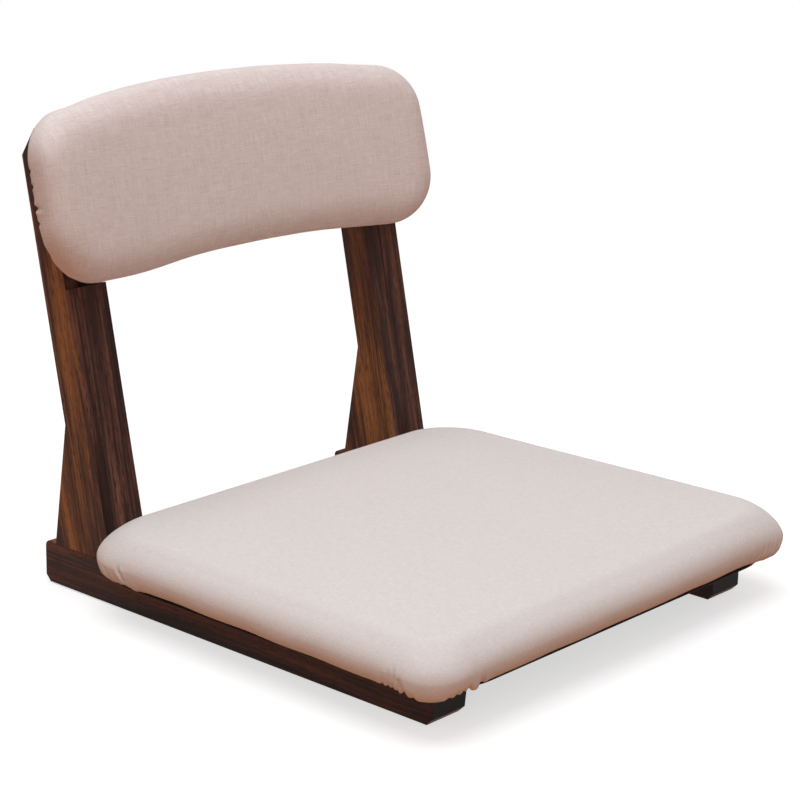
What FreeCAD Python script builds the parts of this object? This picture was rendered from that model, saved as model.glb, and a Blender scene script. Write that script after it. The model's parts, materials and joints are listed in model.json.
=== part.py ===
"""A legless chair for sitting on the floor: two wooden rails carry a flat seat pad, and two
uprights, glued and screwed to the rails, carry a curved back pad.

Millimetres. X runs across the chair, Y to its back and Z up. The origin is on the floor,
under the middle of the whole chair. Left is -X, the left hand of someone who faces it.
"""
import FreeCAD
import Part
import Sketcher
import math
import os
import re

SIZES = (
    # the two floor rails
    ("frame_width", 400.0),
    ("member_width", 42.5),
    ("rail_length", 437.6),
    ("rail_height", 36.4),
    ("rail_inner_slant", 4.5),
    ("rail_end_chamfer", 5.5),
    ("rail_rear_rounding", 4.5),
    ("edge_rounding", 1.2),
    # felt discs let into the rails
    ("glide_diameter", 18.0),
    ("glide_thickness", 2.5),
    ("glide_proud", 1.0),
    ("glide_end_distance", 16.0),
    # the two uprights
    ("lean_angle", 12.1),
    ("foot_set_in", 13.1),
    ("foot_length", 70.0),
    ("kink_height", 108.2),
    ("upright_thickness", 30.9),
    ("upright_length", 363.0),
    ("upright_top_chamfer", 20.0),
    # dowels and screws between upright and rail
    ("dowel_diameter", 8.0),
    ("dowel_length", 40.0),
    ("dowel_in_rail", 18.0),
    ("dowel_foot_distance", 32.0),
    ("screw_diameter", 7.0),
    ("screw_length", 70.0),
    ("screw_head_diameter", 10.0),
    ("screw_head_height", 3.0),
    ("screw_socket_width", 4.0),
    ("screw_socket_depth", 2.0),
    ("screw_foot_distance", 18.0),
    ("screw_spacing", 28.0),
    ("screw_sink", 9.0),
    ("sink_clearance", 1.5),
    ("hole_clearance", 0.05),
    # seat pad, outer form of its cover
    ("seat_overhang_side", 30.0),
    ("seat_overhang_front", 31.0),
    ("seat_rear_clearance", 0.6),
    ("seat_corner_radius", 34.0),
    ("seat_hem_rise", 9.0),
    ("seat_hem_inset", 7.5),
    ("seat_roll_height", 32.5),
    ("seat_roll_width", 40.0),
    ("seat_crown", 6.0),
    # seat pad, layers
    ("fabric_thickness", 1.0),
    ("foam_clearance", 0.3),
    ("board_edge_gap", 0.3),
    ("seat_board_thickness", 12.0),
    ("seat_hem_width", 38.0),
    ("underlay_thickness", 0.6),
    ("underlay_edge_distance", 14.0),
    # bolts through the rails into the seat board
    ("bolt_diameter", 6.0),
    ("bolt_head_diameter", 12.0),
    ("bolt_head_height", 3.2),
    ("bolt_socket_width", 4.0),
    ("bolt_socket_depth", 2.2),
    ("washer_diameter", 14.0),
    ("washer_thickness", 1.2),
    ("nut_flange_diameter", 19.0),
    ("nut_flange_thickness", 1.3),
    ("nut_barrel_diameter", 7.8),
    ("nut_barrel_length", 7.0),
    ("seat_bolt_sink", 10.0),
    ("seat_bolt_end_distance", 55.0),
    ("seat_bolt_foot_distance", 45.0),
    # back pad, outer form of its cover
    ("back_rise", 225.0),
    ("back_lean_angle", 14.0),
    ("back_bend_radius", 957.0),
    ("back_let_in", 6.0),
    ("back_seat_gap", 0.5),
    ("back_thickness", 37.0),
    ("back_crown", 3.0),
    ("back_overhang_side", 22.0),
    ("back_height", 143.0),
    ("back_top_arch", 20.4),
    ("back_bottom_arch", 11.7),
    ("back_top_radius", 40.0),
    ("back_bottom_radius", 57.5),
    ("back_front_rounding", 14.0),
    ("back_rear_rounding", 9.0),
    # back pad, layers
    ("back_board_thickness", 12.0),
    ("back_hem_width", 30.0),
    ("lining_thickness", 0.8),
    ("lining_edge_distance", 13.0),
    # bolts through the uprights into the back board
    ("back_bolt_sink", 6.5),
    ("back_bolt_low", 52.0),
    ("back_bolt_spacing", 54.0),
    # staples that hold the underlay and the lining
    ("staple_crown", 10.0),
    ("staple_leg", 8.0),
    ("staple_wire", 0.7),
    ("staple_edge_distance", 6.0),
    ("staple_pitch", 42.0),
    # how far a cutting tool runs past what it cuts
    ("overrun", 5.0),
)

# the levels and places that follow from the sizes
PLACES = (
    ("rail_top", "glide_proud + rail_height"),
    ("member_middle", "frame_width / 2 - member_width / 2"),
    ("foot_rear", "rail_length / 2 - foot_set_in"),
    ("foot_front", "foot_rear - foot_length"),
    ("upright_depth", "upright_thickness / cos(lean_angle * 1 deg)"),
    ("seat_base", "rail_top + underlay_thickness"),
    ("seat_board_base", "seat_base + fabric_thickness"),
    ("seat_board_top", "seat_board_base + seat_board_thickness"),
    ("seat_widest", "seat_base + seat_hem_rise"),
    ("seat_half_width", "frame_width / 2 + seat_overhang_side"),
    ("seat_front", "-rail_length / 2 - seat_overhang_front"),
    ("seat_rear", "foot_front + (seat_widest - rail_top) * tan(lean_angle * 1 deg) - seat_rear_clearance"),
    ("seat_board_inset", "fabric_thickness + seat_hem_inset + board_edge_gap"),
    ("seat_half_depth", "(seat_rear - seat_front) / 2"),
    ("back_width", "frame_width + 2 * back_overhang_side"),
    ("back_axis_distance", "sqrt(back_bend_radius ^ 2 - member_middle ^ 2) - back_let_in"),
    ("back_foot_y", "foot_front + back_rise * sin(lean_angle * 1 deg)"),
    ("back_foot_z", "rail_top + back_rise * cos(lean_angle * 1 deg)"),
    ("corner_top_x", "back_width / 2 - back_top_radius"),
    ("corner_bottom_x", "back_width / 2 - back_bottom_radius"),
    ("top_arc_radius", "(back_width ^ 2 / 4 + back_top_arch ^ 2) / (2 * back_top_arch)"),
    ("bottom_arc_radius", "(back_width ^ 2 / 4 + back_bottom_arch ^ 2) / (2 * back_bottom_arch)"),
    ("top_arc_z", "back_height + back_top_arch - top_arc_radius"),
    ("bottom_arc_z", "back_bottom_arch - bottom_arc_radius"),
    ("corner_top_z", "top_arc_z + sqrt((top_arc_radius - back_top_radius) ^ 2 - corner_top_x ^ 2)"),
    ("corner_bottom_z", "bottom_arc_z"
                        " + sqrt((bottom_arc_radius + back_bottom_radius) ^ 2 - corner_bottom_x ^ 2)"),
    ("back_lowest", "corner_bottom_z - back_bottom_radius"),
    ("back_highest", "back_height + back_top_arch"),
    ("back_reach", "back_foot_y + (back_highest - back_rear_rounding) * sin(back_lean_angle * 1 deg)"
                   " + (back_bend_radius - back_axis_distance - back_rear_rounding)"
                   " * cos(back_lean_angle * 1 deg) + back_rear_rounding"),
    ("upright_reach", "foot_front + (upright_length - upright_top_chamfer) * sin(lean_angle * 1 deg)"
                      " + upright_thickness * cos(lean_angle * 1 deg)"),
    ("centre_shift", "-(seat_front + max(back_reach; upright_reach)) / 2"),
    ("back_axis_y", "centre_shift + back_foot_y - back_axis_distance * cos(back_lean_angle * 1 deg)"),
    ("back_axis_z", "back_foot_z + back_axis_distance * sin(back_lean_angle * 1 deg)"),
    ("cover_rear_radius", "back_bend_radius - lining_thickness"),
    ("board_rear_radius", "cover_rear_radius - fabric_thickness"),
    ("board_front_radius", "board_rear_radius - back_board_thickness"),
    ("back_board_inset", "back_rear_rounding + board_edge_gap"),
    ("lean_change", "back_lean_angle - lean_angle"),
    ("back_bolt_floor", "back_bend_radius - back_axis_distance + back_bolt_low * tan(lean_change * 1 deg)"
                        " - upright_thickness / cos(lean_change * 1 deg) + back_bolt_sink"),
    ("back_nut_face", "back_bend_radius"
                      " - sqrt(board_front_radius ^ 2 - (member_middle - nut_flange_diameter / 2) ^ 2)"),
    ("seat_bolt_floor", "glide_proud + seat_bolt_sink"),
    ("seat_bolt_front_y", "seat_bolt_end_distance - rail_length / 2"),
    ("seat_bolt_rear_y", "foot_front - seat_bolt_foot_distance"),
    ("screw_y", "foot_front + screw_foot_distance"),
    ("dowel_y", "foot_front + dowel_foot_distance"),
    ("glide_y", "rail_length / 2 - glide_end_distance"),
)

# the turns in degrees at which the seat pad's rolled edges have a section, and how far in the crown has them
HEM_TURNS = (90, 45)
ROLL_TURNS = (0, 15, 30, 45, 60, 75, 90)
CROWN_SHARES = (0.08, 0.2, 0.38, 0.62)
BACK_SWEEP_SHARE = 1.25
SIDES = (("left", -1), ("right", 1))

doc = FreeCAD.newDocument("tatami_chair")
sheet = doc.addObject("Spreadsheet::Sheet", "Sizes")
ALIASES = {name for name, _ in SIZES + PLACES}
parts = []


def in_sheet(text):
    """The same expression with every size named as a cell of the sheet."""
    def cell(word):
        return f"Sizes.{word.group()}" if word.group() in ALIASES else word.group()
    return re.sub(r"[a-z_]+", cell, text)


def fill_sheet():
    rows = [(name, str(value)) for name, value in SIZES] + [(name, "=" + text) for name, text in PLACES]
    for row, (name, content) in enumerate(rows, start=1):
        sheet.set(f"A{row}", name)
        sheet.set(f"B{row}", content)
        sheet.setAlias(f"B{row}", name)
    doc.recompute()


def value(text):
    """What an expression of named sizes comes to now, in mm or degrees."""
    result = sheet.evalExpression(in_sheet(text))
    return float(getattr(result, "Value", result))


def bind(thing, setting, text):
    thing.setExpression(setting, in_sheet(text))


def add_body(name):
    body = doc.addObject("PartDesign::Body", name)
    body.Label = name
    return body


def origin_part(body, role):
    return next(item for item in body.Origin.OriginFeatures if item.Role == role)


def new_sketch(body, name, role, lift="0"):
    """A sketch on one of the body's own origin planes, lifted along that plane's normal."""
    sketch = body.newObject("Sketcher::SketchObject", name)
    sketch.AttachmentSupport = [(origin_part(body, role), "")]
    sketch.MapMode = "FlatFace"
    bind(sketch, "AttachmentOffset.Base.z", lift)
    return sketch


def fix_point(sketch, geometry, position, x, y):
    for kind, text in (("DistanceX", x), ("DistanceY", y)):
        row = sketch.addConstraint(Sketcher.Constraint(kind, -1, 1, geometry, position, value(text)))
        bind(sketch, f"Constraints[{row}]", text)


def arc_between(start, end, radius):
    """The minor arc from start to end, turning left where the radius is positive."""
    half = (end - start) / 2
    reach = math.sqrt(max(radius ** 2 - half.Length ** 2, 0))
    normal = FreeCAD.Vector(-half.y, half.x, 0).normalize()
    middle = start + half + normal * math.copysign(reach, radius)
    circle = Part.Circle(middle, FreeCAD.Vector(0, 0, 1), abs(radius))
    first, last = (start, end) if radius > 0 else (end, start)
    return Part.ArcOfCircle(circle, circle.parameter(first), circle.parameter(last))


def outline(body, name, role, corners, lift="0", arcs=None):
    """A closed outline through the corners. arcs gives the radius of the edges that are round:
    positive where the outline, walked anticlockwise, bulges out, negative where it is hollow."""
    arcs = arcs or {}
    sketch = new_sketch(body, name, role, lift)
    add_loop(sketch, corners, arcs)
    return sketch


def add_loop(sketch, corners, arcs=None):
    arcs = arcs or {}
    first = sketch.GeometryCount
    count = len(corners)
    points = [FreeCAD.Vector(value(x), value(y), 0) for x, y in corners]
    for edge in range(count):
        start, end = points[edge], points[(edge + 1) % count]
        if edge in arcs:
            sketch.addGeometry(arc_between(start, end, value(arcs[edge])), False)
        else:
            sketch.addGeometry(Part.LineSegment(start, end), False)
    for edge in range(count):
        following = (edge + 1) % count
        hollow = edge in arcs and value(arcs[edge]) < 0
        hollow_next = following in arcs and value(arcs[following]) < 0
        sketch.addConstraint(Sketcher.Constraint("Coincident", first + edge, 1 if hollow else 2,
                                                 first + following, 2 if hollow_next else 1))
    for edge, (x, y) in enumerate(corners):
        hollow = edge in arcs and value(arcs[edge]) < 0
        fix_point(sketch, first + edge, 2 if hollow else 1, x, y)
    for edge, radius in arcs.items():
        row = sketch.addConstraint(Sketcher.Constraint("Radius", first + edge, abs(value(radius))))
        bind(sketch, f"Constraints[{row}]", f"abs({radius})")


def circles(body, name, role, places, diameter, lift="0"):
    sketch = new_sketch(body, name, role, lift)
    for x, y in places:
        middle = FreeCAD.Vector(value(x), value(y), 0)
        index = sketch.addGeometry(Part.Circle(middle, FreeCAD.Vector(0, 0, 1), value(diameter) / 2), False)
        fix_point(sketch, index, 3, x, y)
        row = sketch.addConstraint(Sketcher.Constraint("Diameter", index, value(diameter)))
        bind(sketch, f"Constraints[{row}]", diameter)
    return sketch


def pad(body, sketch, length, name, both_ways=False):
    feature = body.newObject("PartDesign::Pad", name)
    feature.Profile = sketch
    feature.Midplane = both_ways
    bind(feature, "Length", length)
    doc.recompute()
    return feature


def pocket(body, sketch, depth, name, along_normal=True):
    """Cuts the sketch's area away, and stops if the cut met nothing."""
    before = body.Shape.Volume
    feature = body.newObject("PartDesign::Pocket", name)
    feature.Profile = sketch
    feature.Reversed = along_normal
    bind(feature, "Length", depth)
    doc.recompute()
    if not body.Shape.Volume < before:
        raise RuntimeError(f"{name} cuts nothing")
    return feature


def edges_where(feature, test):
    return [f"Edge{number}" for number, edge in enumerate(feature.Shape.Edges, start=1) if test(edge)]


def soften(body, kind, setting, size, test, name):
    """A Fillet or Chamfer on those edges of the body's last feature that pass the test."""
    last = body.Tip
    names = edges_where(last, test)
    if not names:
        raise RuntimeError(f"{name} finds no edge")
    feature = body.newObject(f"PartDesign::{kind}", name)
    feature.Base = (last, names)
    bind(feature, setting, size)
    doc.recompute()
    return feature


def loft(body, sections, name, kind="AdditiveLoft"):
    feature = body.newObject(f"PartDesign::{kind}", name)
    feature.Profile = sections[0]
    feature.Sections = sections[1:]
    feature.Ruled = True
    doc.recompute()
    return feature


def cut(name, base, tool):
    result = doc.addObject("Part::Cut", name)
    result.Label = name
    result.Base = base
    result.Tool = tool
    doc.recompute()
    return result


def keep(item):
    parts.append(item)
    return item


def at(edge, axis, place):
    """Whether an edge lies in the plane X, Y or Z (axis 0, 1 or 2) = place."""
    box = edge.BoundBox
    low, high = (box.XMin, box.YMin, box.ZMin)[axis], (box.XMax, box.YMax, box.ZMax)[axis]
    return max(abs(low - place), abs(high - place)) < value("hole_clearance")


def mirrored(text, side):
    return f"{side} * ({text})"


def place_body(item, y="centre_shift", z="0", angle=None):
    """Places an item behind the floor's middle, turned about X where an angle is given."""
    if angle:
        turn = FreeCAD.Rotation(FreeCAD.Vector(1, 0, 0), value(angle))
        item.Placement = FreeCAD.Placement(FreeCAD.Vector(), turn)
        bind(item, "Placement.Rotation.Angle", angle)
    bind(item, "Placement.Base.y", y)
    bind(item, "Placement.Base.z", z)


# Floor rails

def add_rail(word, side):
    name = f"{word}_rail"
    body = add_body(name)
    outer, inner = "frame_width / 2", "frame_width / 2 - member_width"
    section = [(outer, "glide_proud"), (outer, "rail_top"), (inner, "rail_top"),
               (f"{inner} + rail_inner_slant", "glide_proud")]
    sketch = outline(body, f"{name}_section", "XZ_Plane", [(mirrored(x, side), z) for x, z in section])
    pad(body, sketch, "rail_length", f"{name}_length", both_ways=True)
    bottom, top, end = value("glide_proud"), value("rail_top"), value("rail_length / 2")
    soften(body, "Chamfer", "Size", "rail_end_chamfer",
           lambda edge: at(edge, 2, bottom) and (at(edge, 1, end) or at(edge, 1, -end)),
           f"{name}_end_chamfers")
    soften(body, "Fillet", "Radius", "rail_rear_rounding",
           lambda edge: at(edge, 2, top) and at(edge, 1, end), f"{name}_rear_rounding")
    soften(body, "Fillet", "Radius", "edge_rounding",
           lambda edge: edge.BoundBox.XLength < value("member_width") / 2, f"{name}_edges")
    x = mirrored("member_middle", side)
    bolts = [(x, "seat_bolt_front_y"), (x, "seat_bolt_rear_y")]
    screws = [(x, "screw_y"), (x, "screw_y + screw_spacing")]
    glides = [(x, "-glide_y"), (x, "0"), (x, "glide_y")]
    base = "glide_proud"
    drill(body, f"{name}_bolt", bolts, loose("bolt_diameter"), "rail_height", base)
    drill(body, f"{name}_bolt_sink", bolts, "washer_diameter + sink_clearance", "seat_bolt_sink", base)
    drill(body, f"{name}_screw", screws, loose("screw_diameter"), "rail_height", base)
    drill(body, f"{name}_screw_sink", screws, "screw_head_diameter + sink_clearance", "screw_sink", base)
    drill(body, f"{name}_dowel", [(x, "dowel_y")], loose("dowel_diameter"), "dowel_in_rail + hole_clearance",
          "rail_top - dowel_in_rail - hole_clearance")
    drill(body, f"{name}_glide", glides, loose("glide_diameter"), "glide_thickness - glide_proud", base)
    place_body(body)
    return keep(body)


def loose(diameter):
    """The diameter of a hole that a round piece of this diameter fits."""
    return f"{diameter} + 2 * hole_clearance"


def drill(body, name, places, diameter, depth, start):
    """Holes that run straight up from the height start."""
    sketch = circles(body, f"{name}_circles", "XY_Plane", places, diameter, start)
    return pocket(body, sketch, depth, f"{name}_holes")


def four_places(first, last):
    """The middles of four fasteners, two to each side of the chair."""
    return [(mirrored("member_middle", side), y) for _, side in SIDES for y in (first, last)]


def add_upright(word, side):
    name = f"{word}_upright"
    body = add_body(f"{name}_blank")
    lean = "lean_angle * 1 deg"
    profile = [
        ("foot_front", "rail_top"),
        ("foot_rear", "rail_top"),
        (f"foot_front + kink_height * tan({lean}) + upright_depth", "rail_top + kink_height"),
        upright_point("upright_length - upright_top_chamfer", "upright_thickness"),
        upright_point("upright_length", "upright_thickness - upright_top_chamfer"),
        upright_point("upright_length", "0"),
    ]
    lift = "frame_width / 2 - member_width" if side > 0 else "-frame_width / 2"
    pad(body, outline(body, f"{name}_profile", "YZ_Plane", profile, lift), "member_width", f"{name}_width")
    low = value("rail_top + edge_rounding")
    outer, inner = value("frame_width / 2") * side, value("frame_width / 2 - member_width") * side
    soften(body, "Fillet", "Radius", "edge_rounding",
           lambda edge: (at(edge, 0, outer) or at(edge, 0, inner)) and edge.BoundBox.ZMax > low,
           f"{name}_edges")
    x = mirrored("member_middle", side)
    drill(body, f"{name}_screw", [(x, "screw_y"), (x, "screw_y + screw_spacing")], loose("screw_diameter"),
          "screw_sink + screw_length - rail_height + hole_clearance", "rail_top")
    drill(body, f"{name}_dowel", [(x, "dowel_y")], loose("dowel_diameter"),
          "dowel_length - dowel_in_rail + hole_clearance", "rail_top")
    place_body(body)
    bed = back_bed(name)
    holes = bolt_ways(name, side)
    return keep(cut(name, cut(f"{name}_bedded", body, bed), holes))


def upright_point(along, across):
    """A point of the upright's side view, measured along its front edge and square to it."""
    lean = "lean_angle * 1 deg"
    return (f"foot_front + ({along}) * sin({lean}) + ({across}) * cos({lean})",
            f"rail_top + ({along}) * cos({lean}) - ({across}) * sin({lean})")


def back_bed(name):
    """The round tool that beds an upright's front face to the bent back pad."""
    tool = doc.addObject("Part::Cylinder", f"{name}_bed")
    bind(tool, "Radius", "back_bend_radius")
    bind(tool, "Height", "upright_length")
    shift = "(back_lowest - back_seat_gap)"
    place_body(tool, f"back_axis_y + {shift} * sin(back_lean_angle * 1 deg)",
               f"back_axis_z + {shift} * cos(back_lean_angle * 1 deg)", "-back_lean_angle")
    return tool


def bolt_ways(name, side):
    """Tool for an upright's two bolt holes, with the sinks for their heads."""
    body = add_body(f"{name}_bolt_ways")
    x = mirrored("member_middle", side)
    places = [(x, "back_bolt_low"), (x, "back_bolt_low + back_bolt_spacing")]
    wide = circles(body, f"{name}_sink_circles", "XY_Plane", places, "washer_diameter + sink_clearance",
                   "back_bolt_floor - upright_thickness")
    pad(body, wide, "upright_thickness", f"{name}_sinks")
    slim = circles(body, f"{name}_hole_circles", "XY_Plane", places, loose("bolt_diameter"),
                   "back_bolt_floor - overrun")
    pad(body, slim, "upright_thickness + overrun", f"{name}_holes")
    place_bolt_frame(body)
    return body


def place_bolt_frame(body):
    """Local Z runs forward through the back pad, local Y up along it."""
    place_body(body, "back_axis_y + back_bend_radius * cos(back_lean_angle * 1 deg)",
               "back_axis_z - back_bend_radius * sin(back_lean_angle * 1 deg)", "90 - back_lean_angle")


def place_back_frame(item):
    """Local Z runs up along the back pad, and is the line about which the pad is bent."""
    place_body(item, "back_axis_y", "back_axis_z", "-back_lean_angle")


# Seat pad

def rounded_plan(body, name, height, inset):
    """The seat's plan at one height, drawn in evenly by the inset."""
    wide = f"(seat_half_width - ({inset}))"
    front = f"(seat_front + ({inset}))"
    rear = f"(seat_rear - ({inset}))"
    radius = f"(seat_corner_radius * (1 - ({inset}) / seat_half_width))"
    corners = [
        (f"{wide}", f"{front} + {radius}"), (f"{wide}", f"{rear} - {radius}"),
        (f"{wide} - {radius}", f"{rear}"), (f"{radius} - {wide}", f"{rear}"),
        (f"-{wide}", f"{rear} - {radius}"), (f"-{wide}", f"{front} + {radius}"),
        (f"{radius} - {wide}", f"{front}"), (f"{wide} - {radius}", f"{front}"),
    ]
    return outline(body, name, "XY_Plane", corners, height, {edge: radius for edge in (1, 3, 5, 7)})


def seat_steps(skin):
    """Height and inset of each section from the widest line up, all drawn in by the skin."""
    steps = []
    for turn in ROLL_TURNS:
        steps.append((f"seat_widest + (seat_roll_height - {skin}) * sin({turn} * 1 deg)",
                      f"{skin} + (seat_roll_width - {skin}) * (1 - cos({turn} * 1 deg))"))
    last = CROWN_SHARES[-1]
    for share in CROWN_SHARES:
        crown = 1 - (1 - share / last) ** 2
        steps.append((f"seat_widest + seat_roll_height - {skin} + seat_crown * {crown:.4f}",
                      f"seat_roll_width + (seat_half_depth - seat_roll_width) * {share}"))
    return steps


def hem_steps(skin):
    """The sections of the small roll under the widest line, from the pad's underside up."""
    return [(f"seat_widest - (seat_hem_rise - {skin}) * sin({turn} * 1 deg)",
             f"{skin} + seat_hem_inset * (1 - cos({turn} * 1 deg))") for turn in HEM_TURNS]


def seat_form(body, name, skin, kind="AdditiveLoft"):
    """The seat pad's rounded form, drawn in on all sides by the skin."""
    sections = [rounded_plan(body, f"{name}_section_{number}", height, inset)
                for number, (height, inset) in enumerate(hem_steps(skin) + seat_steps(skin))]
    return loft(body, sections, name, kind)


def add_seat_cover(staples):
    body = add_body("seat_cover_blank")
    seat_form(body, "seat_cover_outside", "0")
    full = body.Shape.Volume
    seat_form(body, "seat_cover_inside", "fabric_thickness", "SubtractiveLoft")
    if not body.Shape.Volume < full:
        raise RuntimeError("the seat cover has no inside")
    window = rounded_plan(body, "seat_cover_window", "seat_base", "seat_hem_width")
    pocket(body, window, "fabric_thickness", "seat_cover_hem")
    place_body(body)
    return keep(cut("seat_cover", body, staples))


def add_seat_foam():
    """The foam lies on the board and is drawn down round its edge."""
    body = add_body("seat_foam")
    seat_form(body, "seat_foam_form", "(fabric_thickness + foam_clearance)")
    bed = rounded_plan(body, "seat_foam_bed", "seat_base", "seat_board_inset")
    pocket(body, bed, "seat_board_top - seat_base", "seat_foam_board_bed")
    place_body(body)
    return keep(body)


def add_seat_board(staples):
    body = add_body("seat_board_blank")
    plan = rounded_plan(body, "seat_board_plan", "seat_board_base", "seat_board_inset")
    pad(body, plan, "seat_board_thickness", "seat_board_sheet")
    places = four_places("seat_bolt_front_y", "seat_bolt_rear_y")
    drill(body, "seat_board_barrel", places, loose("nut_barrel_diameter"), "seat_board_thickness",
          "seat_board_base")
    drill(body, "seat_board_flange", places, loose("nut_flange_diameter"), "nut_flange_thickness",
          "seat_board_top - nut_flange_thickness")
    place_body(body)
    return keep(cut("seat_board", body, staples))


def add_seat_underlay(staples):
    """The thin dark cloth that closes the pad's underside."""
    body = add_body("seat_underlay_blank")
    plan = rounded_plan(body, "seat_underlay_plan", "rail_top", "underlay_edge_distance")
    pad(body, plan, "underlay_thickness", "seat_underlay_sheet")
    places = four_places("seat_bolt_front_y", "seat_bolt_rear_y")
    drill(body, "seat_underlay_bolt", places, loose("bolt_diameter"), "underlay_thickness", "rail_top")
    place_body(body)
    return keep(cut("seat_underlay", body, staples))


# Staples

def one_staple():
    """A staple whose crown lies along X under the plane Z = 0, with its legs up."""
    crown, leg, wire = value("staple_crown"), value("staple_leg"), value("staple_wire")
    vector = FreeCAD.Vector
    staple = Part.makeBox(crown, wire, wire, vector(-crown / 2, -wire / 2, -wire))
    for x in (-crown / 2, crown / 2 - wire):
        staple = staple.fuse(Part.makeBox(wire, wire, leg, vector(x, -wire / 2, 0)))
    return staple.removeSplitter()


def spread(first, last):
    """Places between two ends, about a staple pitch apart."""
    count = max(int(round((last - first) / value("staple_pitch"))), 1)
    return [first + (last - first) * step / count for step in range(count + 1)]


def add_seat_staples():
    """Staples round the underlay, left out where the rails cover its edge."""
    inset = value("underlay_edge_distance + staple_edge_distance")
    wide = value("seat_half_width") - inset
    front = value("seat_front") + inset
    rear = value("seat_rear") - inset
    between = value("frame_width / 2 - member_width") - value("staple_crown")
    corner = value("seat_corner_radius")
    level = value("rail_top")
    quarter = FreeCAD.Rotation(FreeCAD.Vector(0, 0, 1), 90)
    staples = []
    for side in (-1, 1):
        for y in spread(front + corner, rear - corner):
            place = FreeCAD.Placement(FreeCAD.Vector(side * wide, y, level), quarter)
            staples.append(one_staple().transformed(place.Matrix))
    for y in (front, rear):
        for x in spread(-between, between):
            staples.append(one_staple().translated(FreeCAD.Vector(x, y, level)))
    return staple_node("seat_staples", staples, place_body)


def staple_node(name, staples, place):
    item = doc.addObject("Part::Feature", name)
    item.Label = name
    item.Shape = Part.makeCompound(staples)
    place(item)
    doc.recompute()
    return keep(item)


def back_staple(x, z, upright):
    """A staple on the back pad's rear face, with its crown along the pad or up it."""
    radius = value("back_bend_radius")
    outward = FreeCAD.Vector(x, math.sqrt(radius ** 2 - x ** 2), 0).normalize()
    up = FreeCAD.Vector(0, 0, 1)
    along = up if upright else up.cross(outward)
    turn = FreeCAD.Rotation(along, (-outward).cross(along), -outward, "ZXY")
    place = FreeCAD.Placement(outward * (radius + value("hole_clearance")) + up * z, turn)
    return one_staple().transformed(place.Matrix)


def add_back_staples():
    """Staples round the lining, left out where the uprights cover its edge."""
    inset = value("lining_edge_distance + staple_edge_distance")
    between = value("frame_width / 2 - member_width") - value("staple_crown")
    staples = []
    for x in spread(-between, between):
        top = value("top_arc_z") + math.sqrt((value("top_arc_radius") - inset) ** 2 - x ** 2)
        bottom = value("bottom_arc_z") + math.sqrt((value("bottom_arc_radius") + inset) ** 2 - x ** 2)
        staples += [back_staple(x, top, False), back_staple(x, bottom, False)]
    end = value("back_width / 2") - inset
    for side in (-1, 1):
        for z in spread(value("corner_bottom_z"), value("corner_top_z")):
            staples.append(back_staple(side * end, z, True))
    return staple_node("back_staples", staples, place_back_frame)


# Back pad

def back_outline_corners(inset):
    """The pad's outline seen along its thickness, drawn in evenly by the inset."""
    top = f"(back_top_radius - ({inset}))"
    bottom = f"(back_bottom_radius - ({inset}))"
    side = f"(back_width / 2 - ({inset}))"
    top_x = f"(corner_top_x + {top} * corner_top_x / (top_arc_radius - back_top_radius))"
    top_z = f"(corner_top_z + {top} * (corner_top_z - top_arc_z) / (top_arc_radius - back_top_radius))"
    low_x = f"(corner_bottom_x - {bottom} * corner_bottom_x / (bottom_arc_radius + back_bottom_radius))"
    low_z = (f"(corner_bottom_z - {bottom} * (corner_bottom_z - bottom_arc_z)"
             " / (bottom_arc_radius + back_bottom_radius))")
    right = [(low_x, low_z), (side, "corner_bottom_z"), (side, "corner_top_z"), (top_x, top_z)]
    corners = right[1:] + [(f"-{x}", z) for x, z in reversed(right)] + right[:1]
    arcs = {1: top, 2: f"(top_arc_radius - ({inset}))", 3: top, 5: bottom,
            6: f"-(bottom_arc_radius + ({inset}))", 7: bottom}
    return corners, arcs


def bent_panel(name, front, rear, inset, crown=None):
    """A panel of the back pad's outline, bent about the local Z axis between two radii."""
    body = add_body(name)
    low, high = "-overrun", "back_highest + overrun"
    arcs = {}
    if crown:
        front = f"{front} + {crown}"
        arcs = {3: f"((({high}) - ({low})) ^ 2 / 4 + {crown} ^ 2) / (2 * {crown})"}
    profile = [(front, low), (rear, low), (rear, high), (front, high)]
    ring = body.newObject("PartDesign::Revolution", f"{name}_bend")
    ring.Profile = outline(body, f"{name}_profile", "YZ_Plane", profile, arcs=arcs)
    ring.ReferenceAxis = (ring.Profile[0], ["V_Axis"])
    ring.Midplane = True
    bind(ring, "Angle", f"2 * asin(back_width / 2 / board_front_radius) * {BACK_SWEEP_SHARE}")
    doc.recompute()
    corners, arcs = back_outline_corners(inset)
    sketch = outline(body, f"{name}_trim", "XZ_Plane", corners, arcs=arcs)
    far = "back_width"
    add_loop(sketch, [(far, f"-{far}"), (far, far), (f"-{far}", far), (f"-{far}", f"-{far}")])
    doc.recompute()
    pocket(body, sketch, "back_bend_radius + overrun", f"{name}_outline", along_normal=False)
    return body


def rim(feature, front):
    """Names of the edges round the panel's front or rear face."""
    faces = sorted(feature.Shape.Faces, key=lambda face: face.Area)[-2:]
    faces.sort(key=lambda face: face.CenterOfMass.y)
    face = faces[0 if front else 1]
    return [f"Edge{number}" for number, edge in enumerate(feature.Shape.Edges, start=1)
            if any(edge.isSame(other) for other in face.Edges)]


def round_rim(body, name, radius, front):
    last = body.Tip
    feature = body.newObject("PartDesign::Fillet", name)
    feature.Base = (last, rim(last, front))
    bind(feature, "Radius", radius)
    doc.recompute()


def back_form(name, skin):
    """The back pad's rounded form, drawn in on all sides by the skin."""
    body = bent_panel(name, f"(back_bend_radius - back_thickness + {skin})", f"(cover_rear_radius - {skin})",
                      skin, "back_crown")
    round_rim(body, f"{name}_front_rounding", f"back_front_rounding - {skin}", True)
    round_rim(body, f"{name}_rear_rounding", f"back_rear_rounding - {skin}", False)
    place_back_frame(body)
    doc.recompute()
    return body


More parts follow.
